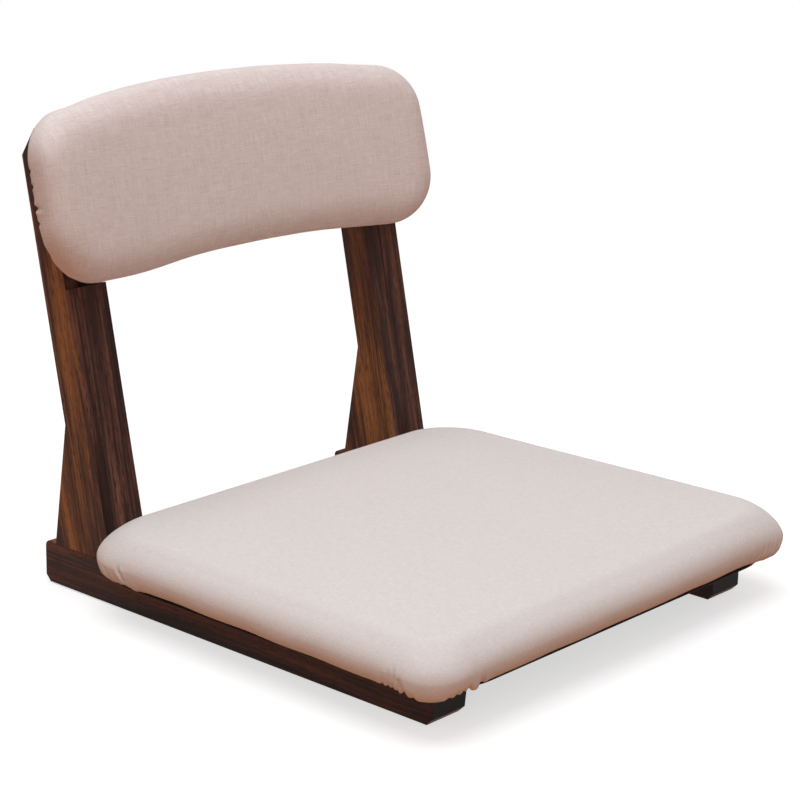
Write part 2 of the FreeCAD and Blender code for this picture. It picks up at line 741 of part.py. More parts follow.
def add_back_cover(staples):
    outside = back_form("back_cover_outside", "0")
    inside = back_form("back_cover_inside", "fabric_thickness")
    shell = cut("back_cover_shell", outside, inside)
    window = bent_panel("back_cover_window", "(board_rear_radius - overrun)", "(back_bend_radius + overrun)",
                        "back_hem_width")
    place_back_frame(window)
    return keep(cut("back_cover", cut("back_cover_hemmed", shell, window), staples))


def back_board_panel():
    panel = bent_panel("back_board_panel", "board_front_radius", "board_rear_radius", "back_board_inset")
    place_back_frame(panel)
    return panel


def add_back_foam(panel):
    """The foam lies on the board and is drawn back round its edge."""
    return keep(cut("back_foam", back_form("back_foam_form", "(fabric_thickness + foam_clearance)"), panel))


def add_back_board(panel, staples):
    ways = add_body("back_board_nut_ways")
    places = four_places("back_bolt_low", "back_bolt_low + back_bolt_spacing")
    barrels = circles(ways, "back_board_barrels", "XY_Plane", places, loose("nut_barrel_diameter"), "0")
    pad(ways, barrels, "back_nut_face", "back_board_barrel_ways")
    flanges = circles(ways, "back_board_flanges", "XY_Plane", places, loose("nut_flange_diameter"),
                      "back_nut_face - nut_flange_thickness")
    pad(ways, flanges, "back_board_thickness", "back_board_flange_ways")
    place_bolt_frame(ways)
    return keep(cut("back_board", cut("back_board_drilled", panel, ways), staples))


def add_back_lining(staples):
    """The cloth panel that closes the pad's rear face."""
    panel = bent_panel("back_lining_panel", "cover_rear_radius", "back_bend_radius", "lining_edge_distance")
    place_back_frame(panel)
    ways = add_body("back_lining_bolt_ways")
    places = four_places("back_bolt_low", "back_bolt_low + back_bolt_spacing")
    pad(ways, circles(ways, "back_lining_bolts", "XY_Plane", places, loose("bolt_diameter"), "0"),
        "back_nut_face", "back_lining_bolt_holes")
    place_bolt_frame(ways)
    return keep(cut("back_lining", cut("back_lining_drilled", panel, ways), staples))


# Fasteners, drawn once and repeated across the chair and along local Y

def repeat(body, features, spacing=None, count=2):
    copies = body.newObject("PartDesign::MultiTransform", f"{body.Name}_copies")
    across = body.newObject("PartDesign::Mirrored", f"{body.Name}_across")
    across.MirrorPlane = (origin_part(body, "YZ_Plane"), [""])
    steps = [across]
    if spacing:
        along = body.newObject("PartDesign::LinearPattern", f"{body.Name}_along")
        along.Direction = (origin_part(body, "Y_Axis"), [""])
        along.Occurrences = count
        bind(along, "Length", spacing)
        steps.append(along)
    copies.Originals = features
    copies.Transformations = steps
    body.Tip = copies
    doc.recompute()


def disc(body, name, y, diameter, thickness, level):
    sketch = circles(body, f"{name}_circle", "XY_Plane", [("member_middle", y)], diameter, level)
    return pad(body, sketch, thickness, name)


def hexagon(y, width):
    """Corners of a hexagon of this width across its flats, round the first fastener."""
    return [(f"member_middle + {width} / sqrt(3) * cos({turn} * 1 deg)",
             f"{y} + {width} / sqrt(3) * sin({turn} * 1 deg)") for turn in range(0, 360, 60)]


def add_fasteners(name, kind, y, spacing, under_head, length, place):
    """Socket screws whose heads' undersides lie at the level under_head."""
    body = add_body(name)
    head = disc(body, f"{name}_head", y, f"{kind}_head_diameter", f"{kind}_head_height",
                f"{under_head} - {kind}_head_height")
    shank = disc(body, f"{name}_shank", y, f"{kind}_diameter", length, under_head)
    hole = outline(body, f"{name}_hexagon", "XY_Plane", hexagon(y, f"{kind}_socket_width"),
                   f"{under_head} - {kind}_head_height")
    socket = pocket(body, hole, f"{kind}_socket_depth", f"{name}_socket")
    repeat(body, [head, shank, socket], spacing)
    place(body)
    return keep(body)


def add_washers(name, y, spacing, level, place):
    body = add_body(name)
    base = f"{level} - washer_thickness"
    plate = disc(body, f"{name}_plate", y, "washer_diameter", "washer_thickness", base)
    hole = circles(body, f"{name}_hole", "XY_Plane", [("member_middle", y)], loose("bolt_diameter"), base)
    repeat(body, [plate, pocket(body, hole, "washer_thickness", f"{name}_bore")], spacing)
    place(body)
    return keep(body)


def add_tee_nuts(name, y, spacing, level, place):
    """Nuts pressed into a board, with their flanges' upper faces at this level."""
    body = add_body(name)
    flange = disc(body, f"{name}_flange", y, "nut_flange_diameter", "nut_flange_thickness",
                  f"{level} - nut_flange_thickness")
    barrel = disc(body, f"{name}_barrel", y, "nut_barrel_diameter", "nut_barrel_length",
                  f"{level} - nut_flange_thickness - nut_barrel_length")
    depth = "(nut_flange_thickness + nut_barrel_length)"
    hole = circles(body, f"{name}_hole", "XY_Plane", [("member_middle", y)], loose("bolt_diameter"),
                   f"{level} - {depth}")
    repeat(body, [flange, barrel, pocket(body, hole, depth, f"{name}_bore")], spacing)
    place(body)
    return keep(body)


def add_bolted_joint(word, y, spacing, floor, nut_face, place):
    """Bolts with their washers on a wooden floor, which end in tee nuts whose faces lie at nut_face."""
    under_head = f"({floor} - washer_thickness)"
    length = f"{nut_face} - nut_flange_thickness - {under_head}"
    add_fasteners(f"{word}_bolts", "bolt", y, spacing, under_head, length, place)
    add_washers(f"{word}_washers", y, spacing, floor, place)
    add_tee_nuts(f"{word}_tee_nuts", y, spacing, nut_face, place)


def add_dowels():
    body = add_body("upright_dowels")
    pin = disc(body, "upright_dowel", "dowel_y", "dowel_diameter", "dowel_length", "rail_top - dowel_in_rail")
    repeat(body, [pin])
    place_body(body)
    return keep(body)


def add_glides():
    body = add_body("floor_glides")
    glide = disc(body, "floor_glide", "-glide_y", "glide_diameter", "glide_thickness", "0")
    repeat(body, [glide], "2 * glide_y", 3)
    place_body(body)
    return keep(body)


def build():
    fill_sheet()
    for word, side in SIDES:
        add_rail(word, side)
        add_upright(word, side)
    add_dowels()
    add_glides()
    add_fasteners("upright_screws", "screw", "screw_y", "screw_spacing", "(glide_proud + screw_sink)",
                  "screw_length", place_body)
    seat_spacing = "seat_bolt_rear_y - seat_bolt_front_y"
    add_bolted_joint("seat", "seat_bolt_front_y", seat_spacing, "seat_bolt_floor", "seat_board_top",
                     place_body)
    add_bolted_joint("back", "back_bolt_low", "back_bolt_spacing", "back_bolt_floor", "back_nut_face",
                     place_bolt_frame)
    staples = add_seat_staples()
    add_seat_underlay(staples)
    add_seat_board(staples)
    add_seat_foam()
    add_seat_cover(staples)
    staples = add_back_staples()
    add_back_lining(staples)
    panel = back_board_panel()
    add_back_board(panel, staples)
    add_back_foam(panel)
    add_back_cover(staples)
    doc.recompute()


def check_and_write():
    for item in doc.Objects:
        if {"Invalid", "Error"} & set(item.State):
            raise RuntimeError(f"{item.Name} did not build: {item.State}")
    for item in parts:
        if item.Shape.isNull() or not item.Shape.isValid() or not item.Shape.Solids:
            raise RuntimeError(f"{item.Label} has no sound shape")
    os.makedirs("parts", exist_ok=True)
    for item in parts:
        item.Shape.exportStep(f"parts/{item.Label}.step")
        box = item.Shape.optimalBoundingBox(False)
        print(f"{item.Label}: {len(item.Shape.Solids)} solids, {item.Shape.Volume:.0f} mm3, X {box.XMin:.2f}"
              f" {box.XMax:.2f}, Y {box.YMin:.2f} {box.YMax:.2f}, Z {box.ZMin:.2f} {box.ZMax:.2f}")


build()
check_and_write()
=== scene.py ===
# %% [markdown]
# # A legless floor chair
# Two scorched wooden rails lie on the floor, two uprights lean back from their rear ends, and
# two padded cushions with a pale woven cover sit on them. The wooden pieces come from the
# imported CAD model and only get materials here. The soft pieces are modelled in this file,
# because cloth has folds, gathers and a hang that a solid model can't hold.
#
# Everything is in metres, in the CAD model's own frame: X across the chair, Y to its back and
# Z up, with the origin on the floor.

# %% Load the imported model
import json
import math

import bpy
import numpy as np
from mathutils import Matrix, Vector


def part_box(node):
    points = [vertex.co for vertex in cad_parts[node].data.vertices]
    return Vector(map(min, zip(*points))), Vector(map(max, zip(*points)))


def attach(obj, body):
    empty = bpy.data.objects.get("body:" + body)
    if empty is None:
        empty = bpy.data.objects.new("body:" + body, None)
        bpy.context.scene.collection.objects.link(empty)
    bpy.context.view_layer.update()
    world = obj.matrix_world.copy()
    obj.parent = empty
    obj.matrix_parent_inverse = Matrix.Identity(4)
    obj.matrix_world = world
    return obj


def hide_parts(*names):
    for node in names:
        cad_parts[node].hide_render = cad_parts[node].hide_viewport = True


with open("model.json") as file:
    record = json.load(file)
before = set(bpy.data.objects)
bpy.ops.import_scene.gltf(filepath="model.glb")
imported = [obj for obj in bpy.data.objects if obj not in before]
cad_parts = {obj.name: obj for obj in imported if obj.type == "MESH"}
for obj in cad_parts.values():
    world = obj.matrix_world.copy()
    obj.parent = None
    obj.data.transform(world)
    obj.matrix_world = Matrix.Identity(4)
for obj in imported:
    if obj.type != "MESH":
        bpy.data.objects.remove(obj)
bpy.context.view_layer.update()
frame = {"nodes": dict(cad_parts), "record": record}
MM = 0.001


def new_object(name, data):
    """An object for new data, linked to the scene."""
    made = bpy.data.objects.new(name, data)
    bpy.context.scene.collection.objects.link(made)
    return made


# %% [markdown]
# ## Camera
# The camera's place and lens were worked out from the long straight edges of the rails and
# uprights in the photograph. It stands to the front left of the chair, a little above it, and is
# tilted by about a degree. Azimuth 0 would look along +Y.

# %% Camera
CAMERA_PLACE = Vector((-1458.25, -1292.30, 743.08)) * MM
CAMERA_AZIMUTH = math.radians(-48.46)
CAMERA_ELEVATION = math.radians(16.47)
CAMERA_ROLL = math.radians(1.17)
FOCAL_PIXELS = 2428.98
PHOTO_PIXELS = 800

camera = new_object("camera", bpy.data.cameras.new("camera"))
camera.data.sensor_width = 36
camera.data.lens = FOCAL_PIXELS / PHOTO_PIXELS * camera.data.sensor_width
camera.data.clip_start = 0.1
backward = Vector((math.sin(CAMERA_AZIMUTH) * math.cos(CAMERA_ELEVATION),
                   -math.cos(CAMERA_AZIMUTH) * math.cos(CAMERA_ELEVATION),
                   math.sin(CAMERA_ELEVATION)))
facing = (-backward).to_track_quat("-Z", "Y").to_matrix().to_4x4()
camera.matrix_world = Matrix.Translation(CAMERA_PLACE) @ facing @ Matrix.Rotation(CAMERA_ROLL, 4, "Z")
bpy.context.scene.camera = camera
print("lens:", round(camera.data.lens, 1), "mm")

# %% [markdown]
# ## Light and floor
# The photograph was taken in soft light from above, on a pure white ground. A large lamp
# overhead and a weaker one in front give the soft shading. The world fills in the rest: a pale
# sky overhead and the rosy light of a furnished room towards the horizon, which is what the front
# of the back pad faces. To light that bounces, the floor is a warm tan like a wooden floor, which
# gives the pads' undersides the warm shade that they have in the photograph.

# %% Helpers for materials
def linear(colour):
    """An sRGB colour such as "#E3D9D4" as linear RGBA."""
    parts = [int(colour[start:start + 2], 16) / 255 for start in (1, 3, 5)]
    return [part / 12.92 if part <= 0.04045 else ((part + 0.055) / 1.055) ** 2.4 for part in parts] + [1.0]


def add(tree, kind, settings=None, stops=(), **inputs):
    """Adds a shader node, or one given by its full type name. An input is named with _ for a space,
    or given as in0, in1, for its number. A node given to an input is linked by its first output.
    A colour ramp runs through (place, colour) stops."""
    made = tree.nodes.new(kind if "Node" in kind else f"ShaderNode{kind}")
    for name, value in (settings or {}).items():
        setattr(made, name, value)
    for name, value in inputs.items():
        socket = made.inputs[int(name[2:])] if name[2:].isdigit() else made.inputs[name.replace("_", " ")]
        if isinstance(value, bpy.types.Node):
            value = value.outputs[0]
        if isinstance(value, bpy.types.NodeSocket):
            tree.links.new(value, socket)
        else:
            socket.default_value = value
    if stops:
        elements = made.color_ramp.elements
        while len(elements) < len(stops):
            elements.new(0.5)
        for element, (place, colour) in zip(elements, stops):
            element.position = place
            element.color = linear(colour)
    return made


def new_material(name):
    """A material with nothing in its node tree yet, and the tree."""
    material = bpy.data.materials.new(name)
    material.use_nodes = True
    material.node_tree.nodes.clear()
    return material, material.node_tree


# %% Floor, world and lamps
# the shadow fades out between these distances from the origin, in metres
FADE_START = 0.55
FADE_END = 1.5
FLOOR_SIZE = 30
FLOOR_GLOW = 0.62
WORLD_STRENGTH = 0.62
# place, size and power of each lamp, all aimed at one point of the chair
LAMPS = {"overhead_lamp": ((-0.3, -0.05, 2.2), 2.0, 31.5), "front_lamp": ((-1.7, -1.8, 1.3), 1.4, 7)}
LAMP_TARGET = Vector((0, 0, 0.2))


def seen_by(tree, first, *others):
    """1 for rays of the named kinds, 0 for others."""
    path = add(tree, "LightPath").outputs
    seen = path[first]
    for kind in others:
        seen = add(tree, "Math", {"operation": "MAXIMUM"}, in0=seen, in1=path[kind])
    return seen


def floor_material():
    """Plain white that takes the chair's shadow, and past it pure white to the camera."""
    material, tree = new_material("pale_floor")
    seen = seen_by(tree, "Is Camera Ray", "Is Glossy Ray", "Is Transmission Ray")
    place = add(tree, "TexCoord").outputs["Object"]
    away = add(tree, "VectorMath", {"operation": "LENGTH"}, in0=place).outputs["Value"]
    far = add(tree, "MapRange", {"interpolation_type": "SMOOTHSTEP"}, in0=away, in1=FADE_START,
              in2=FADE_END)
    tan = add(tree, "BsdfDiffuse", Color=linear("#B27343"))
    white = add(tree, "BsdfDiffuse", Color=linear("#C4C4C4"))
    glow = add(tree, "Emission", Color=linear("#FFFFFF"), Strength=FLOOR_GLOW)
    lit = add(tree, "AddShader", in0=white, in1=glow)
    plain = add(tree, "Emission", Color=linear("#FFFFFF"), Strength=1.0)
    shown = add(tree, "MixShader", in0=far, in1=lit, in2=plain)
    mix = add(tree, "MixShader", in0=seen, in1=tan, in2=shown)
    add(tree, "OutputMaterial", Surface=mix)
    return material


bpy.ops.mesh.primitive_plane_add(size=FLOOR_SIZE)
floor = bpy.context.object
floor.name = "floor"
floor.data.materials.append(floor_material())

world = bpy.data.worlds.new("studio")
bpy.context.scene.world = world
world.use_nodes = True
sky = world.node_tree
sky.nodes.clear()
seen = seen_by(sky, "Is Camera Ray", "Is Transmission Ray")
height = add(sky, "SeparateXYZ", Vector=add(sky, "TexCoord").outputs["Generated"]).outputs["Z"]
room = add(sky, "ValToRGB", stops=[(0.0, "#AE8B79"), (0.30, "#C1A69A"), (0.75, "#F2F4F7")], Fac=height)
soft = add(sky, "Background", Color=room, Strength=WORLD_STRENGTH)
plain = add(sky, "Background", Color=linear("#FFFFFF"), Strength=1.0)
mix = add(sky, "MixShader", in0=seen, in1=soft, in2=plain)
add(sky, "OutputWorld", Surface=mix)

for name, (place, size, power) in LAMPS.items():
    lamp = new_object(name, bpy.data.lights.new(name, "AREA"))
    lamp.data.size = size
    lamp.data.energy = power
    lamp.location = place
    lamp.rotation_mode = "QUATERNION"
    lamp.rotation_quaternion = (LAMP_TARGET - lamp.location).to_track_quat("-Z", "Y")
bpy.context.scene.view_settings.view_transform = "Standard"
print("lamps:", list(LAMPS))

# %% [markdown]
# ## Woven covers
# The covers are a plain weave of linen-look yarn: pale, slightly pink, with slubs, the thick
# places in the yarn that draw fine lines along both thread directions. Each cover carries a UV
# map in metres, laid out as the cloth lay flat, so the threads bend down over the pad's edges.
# A real thread is about 0.5 mm wide, finer than a pixel of the render, so the weave is drawn at
# about twice that.

# %% Woven cover material
THREAD_PITCH = 1.0
SLUB_WIDTH = 0.8


def woven_cover(name, pale, deep, contrast, slub_length, band_share, bump_depth):
    """A plain weave with slubs along both thread directions, on a UV map in metres. The slub's
    length and the depth of the bump are in mm."""
    material, tree = new_material(name)
    cloth = add(tree, "UVMap", {"uv_map": "cloth"}).outputs["UV"]
    fine, broad = [], []
    for turned in (False, True):
        # a slub is one thread wide, and there are 1 / size of them to the metre
        across, along = 1 / (SLUB_WIDTH * MM), 1 / (slub_length * MM)
        stretch = (along, across, 1) if turned else (across, along, 1)
        line = add(tree, "Mapping", Vector=cloth, Scale=stretch, Location=(0.4, 2.3, 0))
        fine.append(add(tree, "TexNoise", Vector=line, Scale=1.0, Detail=2.0, Roughness=0.7))
        # a run of thicker threads is 5 mm wide and 83 mm long, 200 and 12 to the metre
        stretch = (12, 200, 1) if turned else (200, 12, 1)
        band = add(tree, "Mapping", Vector=cloth, Scale=stretch, Location=(3.1, 7.7, 0))
        broad.append(add(tree, "TexNoise", Vector=band, Scale=1.0, Detail=2.0))
    slubs = add(tree, "Math", {"operation": "ADD"}, in0=fine[0], in1=fine[1])
    bands = add(tree, "Math", {"operation": "ADD"}, in0=broad[0], in1=broad[1])
    pattern = add(tree, "Math", {"operation": "MULTIPLY_ADD"}, in0=bands, in1=band_share, in2=slubs)
    middle, half = 1 + band_share, 0.5 / contrast
    spread = add(tree, "MapRange", in0=pattern, in1=middle - half, in2=middle + half)
    colour = add(tree, "Mix", {"data_type": "RGBA"}, in0=spread, in6=linear(deep),
                 in7=linear(pale)).outputs[2]
    # the crossings of the threads, THREAD_PITCH apart
    threads = add(tree, "Mapping", Vector=cloth, Scale=(math.pi / THREAD_PITCH / MM,) * 3)
    split = add(tree, "SeparateXYZ", Vector=threads)
    waves = [add(tree, "Math", {"operation": "SINE"}, in0=split.outputs[axis]) for axis in (0, 1)]
    weave = add(tree, "Math", {"operation": "MULTIPLY"}, in0=waves[0], in1=waves[1])
    height = add(tree, "Math", {"operation": "MULTIPLY_ADD"}, in0=weave, in1=0.3, in2=slubs)
    bump = add(tree, "Bump", Strength=0.5, Distance=bump_depth * MM, Height=height)
    surface = add(tree, "BsdfPrincipled", Base_Color=colour, Roughness=0.92, Sheen_Weight=0.2,
                  Sheen_Roughness=0.5, Normal=bump)
    add(tree, "OutputMaterial", Surface=surface)
    return material


seat_weave = woven_cover("seat_linen_weave", "#E3DFDE", "#D0C7C4", 1.2, 7, 0.12, 0.3)
back_weave = woven_cover("back_linen_weave", "#EAE1DF", "#C9B9B5", 1.3, 16, 0.22, 0.5)
print("woven covers:", seat_weave.name, back_weave.name)

# %% [markdown]
# ## Scorched wood
# The rails and uprights are an open-grained wood, scorched and brushed until the soft summer
# wood darkens and the hard lines stand out in reddish brown. The grain follows each member, so
# the same material is made once for the rails, along Y, and once for the uprights, which lean.

# %% Scorched wood material
def scorched_wood(name, turn, side_shade_tones, faces, light_share):
    """Wood whose grain runs along the material's own Z once its coordinates are turned. Faces that
    look along X get one set of colours and the other faces another, which is painted light and
    shade: the rails' tops lighter as if lit from above, the uprights' left and right faces lighter as
    if lit from the left."""
    material, tree = new_material(name)
    place = add(tree, "TexCoord")
    grain = add(tree, "Mapping", Vector=place.outputs["Object"], Rotation=turn)
    # growth lines 2.3 mm apart, 430 to the metre, that wander by 12 mm along the member
    wander = add(tree, "Mapping", Vector=grain, Scale=(22, 22, 4))
    drift = add(tree, "TexNoise", Vector=wander, Scale=1.0, Detail=3.0).outputs["Color"]
    bent = add(tree, "Mix", {"data_type": "VECTOR"}, in0=0.012, in4=grain, in5=drift).outputs[1]
    rings = add(tree, "Mapping", Vector=bent, Scale=(430, 430, 5))
    lines = add(tree, "TexNoise", Vector=rings, Scale=1.0, Detail=5.0, Roughness=0.68)
    # bands 13 mm wide, 75 to the metre, where the scorching took more or less
    broad = add(tree, "Mapping", Vector=bent, Scale=(75, 75, 5), Location=(5, 1, 0))
    bands = add(tree, "TexNoise", Vector=broad, Scale=1.0, Detail=2.0)
    tone = add(tree, "Math", {"operation": "MULTIPLY_ADD"}, in0=bands, in1=1.1, in2=lines)
    tone = add(tree, "MapRange", in0=tone, in1=0.72, in2=1.38)
    # painted light and shade: faces that look along X take the side colours, the rest the face colours
    painted_side_shade = add(tree, "Math", {"operation": "ABSOLUTE"},
                   in0=add(tree, "SeparateXYZ", Vector=place.outputs["Normal"]).outputs["X"])
    painted_side_shade = add(tree, "MapRange", in0=painted_side_shade, in1=0.4, in2=0.8)
    painted_shade_tones = [add(tree, "ValToRGB", Fac=tone, stops=[
        (0.0, dark), (0.42, middle), (1.0 - light_share, light), (1.0, light)])
        for dark, middle, light in (faces, side_shade_tones)]
    colour = add(tree, "Mix", {"data_type": "RGBA"}, in0=painted_side_shade, in6=painted_shade_tones[0], in7=painted_shade_tones[1]).outputs[2]
    # open pores 0.5 mm wide and 11 mm long, 1900 and 90 to the metre
    pores = add(tree, "Mapping", Vector=grain, Scale=(1900, 1900, 90))
    pits = add(tree, "TexNoise", Vector=pores, Scale=1.0, Detail=1.0)
    pits = add(tree, "MapRange", in0=pits, in1=0.55, in2=0.66)
    colour = add(tree, "Mix", {"data_type": "RGBA"}, in0=pits, in6=colour, in7=linear(side_shade_tones[0])).outputs[2]
    # end grain drinks more of the stain and scorches nearly black
    facing = add(tree, "Mapping", Vector=place.outputs["Normal"], Rotation=turn)
    along = add(tree, "Math", {"operation": "ABSOLUTE"},
                in0=add(tree, "SeparateXYZ", Vector=facing).outputs["Z"])
    ends = add(tree, "MapRange", in0=along, in1=0.75, in2=0.95)
    colour = add(tree, "Mix", {"data_type": "RGBA"}, in0=ends, in6=colour, in7=linear("#170D0A")).outputs[2]
    height = add(tree, "Math", {"operation": "MULTIPLY_ADD"}, in0=pits, in1=-0.5, in2=lines)
    bump = add(tree, "Bump", Strength=0.5, Distance=0.5 * MM, Height=height)
    gloss = add(tree, "MapRange", in0=lines, in3=0.72, in4=0.5)
    surface = add(tree, "BsdfPrincipled", Base_Color=colour, Roughness=gloss, Specular_IOR_Level=0.2,
                  Normal=bump)
    add(tree, "OutputMaterial", Surface=surface)
    return material


LEAN = math.radians(12.1)
# painted light and shade: the rails' side colours are darker than their tops', the uprights' side colours
# lighter than their fronts'
rail_wood = scorched_wood("scorched_wood_rails", (math.radians(90), 0, 0), ("#190D0A", "#3C1F16", "#6B3F28"),
                          ("#2A1710", "#60392A", "#96674A"), 0.1)
upright_wood = scorched_wood("scorched_wood_uprights", (LEAN, 0, 0), ("#1E100C", "#4E2A19", "#996439"),
                             ("#180D0C", "#3E241E", "#795142"), 0.12)
print("woods:", rail_wood.name, upright_wood.name)

# %% [markdown]
# ## Hidden and small pieces
# The hardware, boards, glides and dowels are CAD pieces too. Most are only seen from below or
# behind, yet each gets the finish that it has in life: zinc-plated steel for the bolts, washers,
# screws, tee nuts and staples, pressed felt for the glides, beech for the dowels and birch ply
# for the boards.

# %% Zinc-plated steel
def zinc_plate():
    """Electroplated zinc: a metal with spangle about 1 mm across, 900 to the metre, and slightly
    cloudy roughness."""
    material, tree = new_material("zinc_plated_steel")
    place = add(tree, "TexCoord").outputs["Object"]
    cloud = add(tree, "TexNoise", Vector=place, Scale=900.0, Detail=3.0)
    colour = add(tree, "ValToRGB", stops=[(0.3, "#A9A9A6"), (0.7, "#C9C8C2")], Fac=cloud)
    rough = add(tree, "MapRange", in0=cloud, in3=0.28, in4=0.46)
    surface = add(tree, "BsdfPrincipled", Base_Color=colour, Metallic=1.0, Roughness=rough)
    add(tree, "OutputMaterial", Surface=surface)
    return material


# %% Pressed felt, beech, birch ply and foam
def fibrous(name, pale, deep, scale, stretch, roughness):
    """A dull material of fibres or pores, with scale of them to the metre, drawn out where stretch
    is under 1: felt tufts of 0.7 mm, beech lines of 3 by 40 mm, plies of 1.4 mm, pores of 0.8 mm."""
    material, tree = new_material(name)
    place = add(tree, "TexCoord").outputs["Object"]
    drawn = add(tree, "Mapping", Vector=place, Scale=stretch)
    fibres = add(tree, "TexNoise", Vector=drawn, Scale=scale, Detail=4.0, Roughness=0.65)
    colour = add(tree, "ValToRGB", stops=[(0.32, deep), (0.68, pale)], Fac=fibres)
    bump = add(tree, "Bump", Strength=0.4, Distance=0.3 * MM, Height=fibres)
    surface = add(tree, "BsdfPrincipled", Base_Color=colour, Roughness=roughness, Normal=bump)
    add(tree, "OutputMaterial", Surface=surface)
    return material


FINISHES = {
    "rail_wood": rail_wood,
    "upright_wood": upright_wood,
    "zinc_steel": zinc_plate(),
    "felt": fibrous("pressed_felt", "#5B5048", "#3A322D", 1400, (1, 1, 1), 0.95),
    "beech": fibrous("beech", "#D2A981", "#B98A61", 300, (1, 1, 0.08), 0.6),
    "plywood": fibrous("birch_ply", "#D9BE95", "#B99365", 60, (1, 1, 12), 0.6),
    "foam": fibrous("open_cell_foam", "#EFE6C2", "#DCCF9E", 1200, (1, 1, 1), 0.95),
}
slot_of = {part["node"]: part["material_slot"] for part in frame["record"]["subparts"]}
for node, item in frame["nodes"].items():
    if slot_of[node] in FINISHES:
        item.data.materials.clear()
        item.data.materials.append(FINISHES[slot_of[node]])
print("finished CAD nodes:", sum(slot_of[node] in FINISHES for node in frame["nodes"]))

# %% [markdown]
# ## How a pad's mesh is laid out
# A pad is drawn from the middle outward. Its middle is a grid stretched inside a ring, and
# outside that come rings that follow the pad's outline, over the rolled edge, down the side and
# under to the hem. Every ring has the same count of points, closer together in the corners, where
# the cloth is gathered. The rings keep the cloth's flat layout too, which becomes the UV map.

# %% Rings and grids
CORNER_STEPS = 10
NEAR_STEPS = 18
WIDE_STEPS = 60
DEEP_STEPS = 54
NEAR_REACH = 45
# steps from the middle of one corner to the middle of the next
WIDE_COUNT = WIDE_STEPS + 2 * CORNER_STEPS
DEEP_COUNT = DEEP_STEPS + 2 * CORNER_STEPS
# the place of a point that is on no ring
FAR = 1e6


def graded(steps, length):
    """Shares of the way along a side, close together near its ends, where the folds are."""
    near = min(NEAR_REACH / length, 0.4)
    ends = np.linspace(0, near, NEAR_STEPS + 1)
    middle = np.linspace(near, 1 - near, steps - 2 * NEAR_STEPS + 1)[1:-1]
    return np.concatenate([ends, middle, 1 - ends[::-1]])


def ring_points(corners, arc_centres):
    """A closed ring from the middle of its first corner on, anticlockwise. Corners are
    (x, y, radius, first angle, last angle); an edge with an arc centre is round, others straight."""
    points = []
    for number, (x, y, radius, first, last) in enumerate(corners):
        turns = np.radians(np.linspace(first, last, 2 * CORNER_STEPS + 1))
        arc = np.column_stack([x + radius * np.cos(turns), y + radius * np.sin(turns)])
        points.append(arc)
        x, y, radius, first, _ = corners[(number + 1) % 4]
        turn = math.radians(first)
        end = np.array([x + radius * math.cos(turn), y + radius * math.sin(turn)])
        steps = DEEP_STEPS if number % 2 else WIDE_STEPS
        share = graded(steps, math.dist(arc[-1], end))[1:-1, None]
        edge = arc[-1] * (1 - share) + end * share
        centre = arc_centres[number]
        if centre is not None:
            reach = np.linalg.norm(arc[-1] - centre)
            away = edge - centre
            edge = centre + away / np.linalg.norm(away, axis=1, keepdims=True) * reach
        points.append(edge)
    return np.roll(np.concatenate(points), -CORNER_STEPS, axis=0)


def middle_grid(ring):
    """Points of a grid stretched inside a ring, row by row from the ring's first side."""
    half = WIDE_COUNT + DEEP_COUNT
    low = ring[:WIDE_COUNT + 1]
    right = ring[WIDE_COUNT:half + 1]
    top = ring[half:half + WIDE_COUNT + 1][::-1]
    left = np.concatenate([ring[half + WIDE_COUNT:], ring[:1]])[::-1]
    u = np.linspace(0, 1, WIDE_COUNT + 1)[None, :, None]
    v = np.linspace(0, 1, DEEP_COUNT + 1)[:, None, None]
    flat = (1 - u) * left[:, None] + u * right[:, None] + (1 - v) * low[None] + v * top[None]
    ends = (1 - u) * (1 - v) * low[0] + u * (1 - v) * low[-1] + (1 - u) * v * top[0] + u * v * top[-1]
    return flat - ends


def border_numbers(rows, columns):
    """Numbers of a grid's border points in the same order as the ring round it."""
    grid = np.arange(rows * columns).reshape(rows, columns)
    return np.concatenate([grid[0], grid[1:, -1], grid[-1, :-1][::-1], grid[1:-1, 0][::-1]])


def grid_faces(numbers):
    """Faces of a grid of point numbers."""
    low, high = numbers[:-1], numbers[1:]
    return np.stack([low[:, :-1], low[:, 1:], high[:, 1:], high[:, :-1]], axis=-1).reshape(-1, 4)


def pad_mesh(name, grid, rings, underside, heights, flat_grid, flat_rings, flat_underside):
    """A closed mesh: a middle grid, rings outside it and a grid inside the last of them. Each
    comes with the flat layout of its cloth, which becomes the UV map. The heights are the rings', in
    mm over the hem, and below zero where the hem runs in under the pad."""
    shape = grid.shape[:2]
    border = border_numbers(*shape)
    size, count = shape[0] * shape[1], len(border)
    points = np.concatenate([grid.reshape(-1, 3)] + list(rings) + [underside.reshape(-1, 3)])
    flat = np.concatenate([flat_grid.reshape(-1, 2)] + list(flat_rings) + [flat_underside.reshape(-1, 2)])
    faces = [grid_faces(np.arange(size).reshape(shape))]
    inner = border
    for number in range(len(rings)):
        outer = size + number * count + np.arange(count)
        faces.append(np.column_stack([inner, outer, np.roll(outer, -1), np.roll(inner, -1)]))
        inner = outer
    below = size + len(rings) * count + np.arange(size)
    below[border] = inner
    faces.append(grid_faces(below.reshape(shape))[:, ::-1])
    faces = np.concatenate(faces)
    corner, along = ring_places(points[size:size + count])
    places = np.full((len(points), 3), FAR)
    for number, height in enumerate(heights):
        first = size + number * count
        places[first:first + count] = np.column_stack([corner, along, np.full(count, height)])
    used, faces = np.unique(faces, return_inverse=True)
    points, flat, places = points[used], flat[used], places[used]

    mesh = bpy.data.meshes.new(name)
    mesh.from_pydata(points.tolist(), [], faces.reshape(-1, 4).tolist())
    layout = mesh.uv_layers.new(name="cloth")
    loops = np.zeros(len(mesh.loops), int)
    mesh.loops.foreach_get("vertex_index", loops)
    layout.data.foreach_set("uv", flat[loops].ravel())
    mesh.attributes.new("ring_place", "FLOAT_VECTOR", "POINT").data.foreach_set("vector", places.ravel())
    mesh.shade_smooth()
    return new_object(name, mesh)


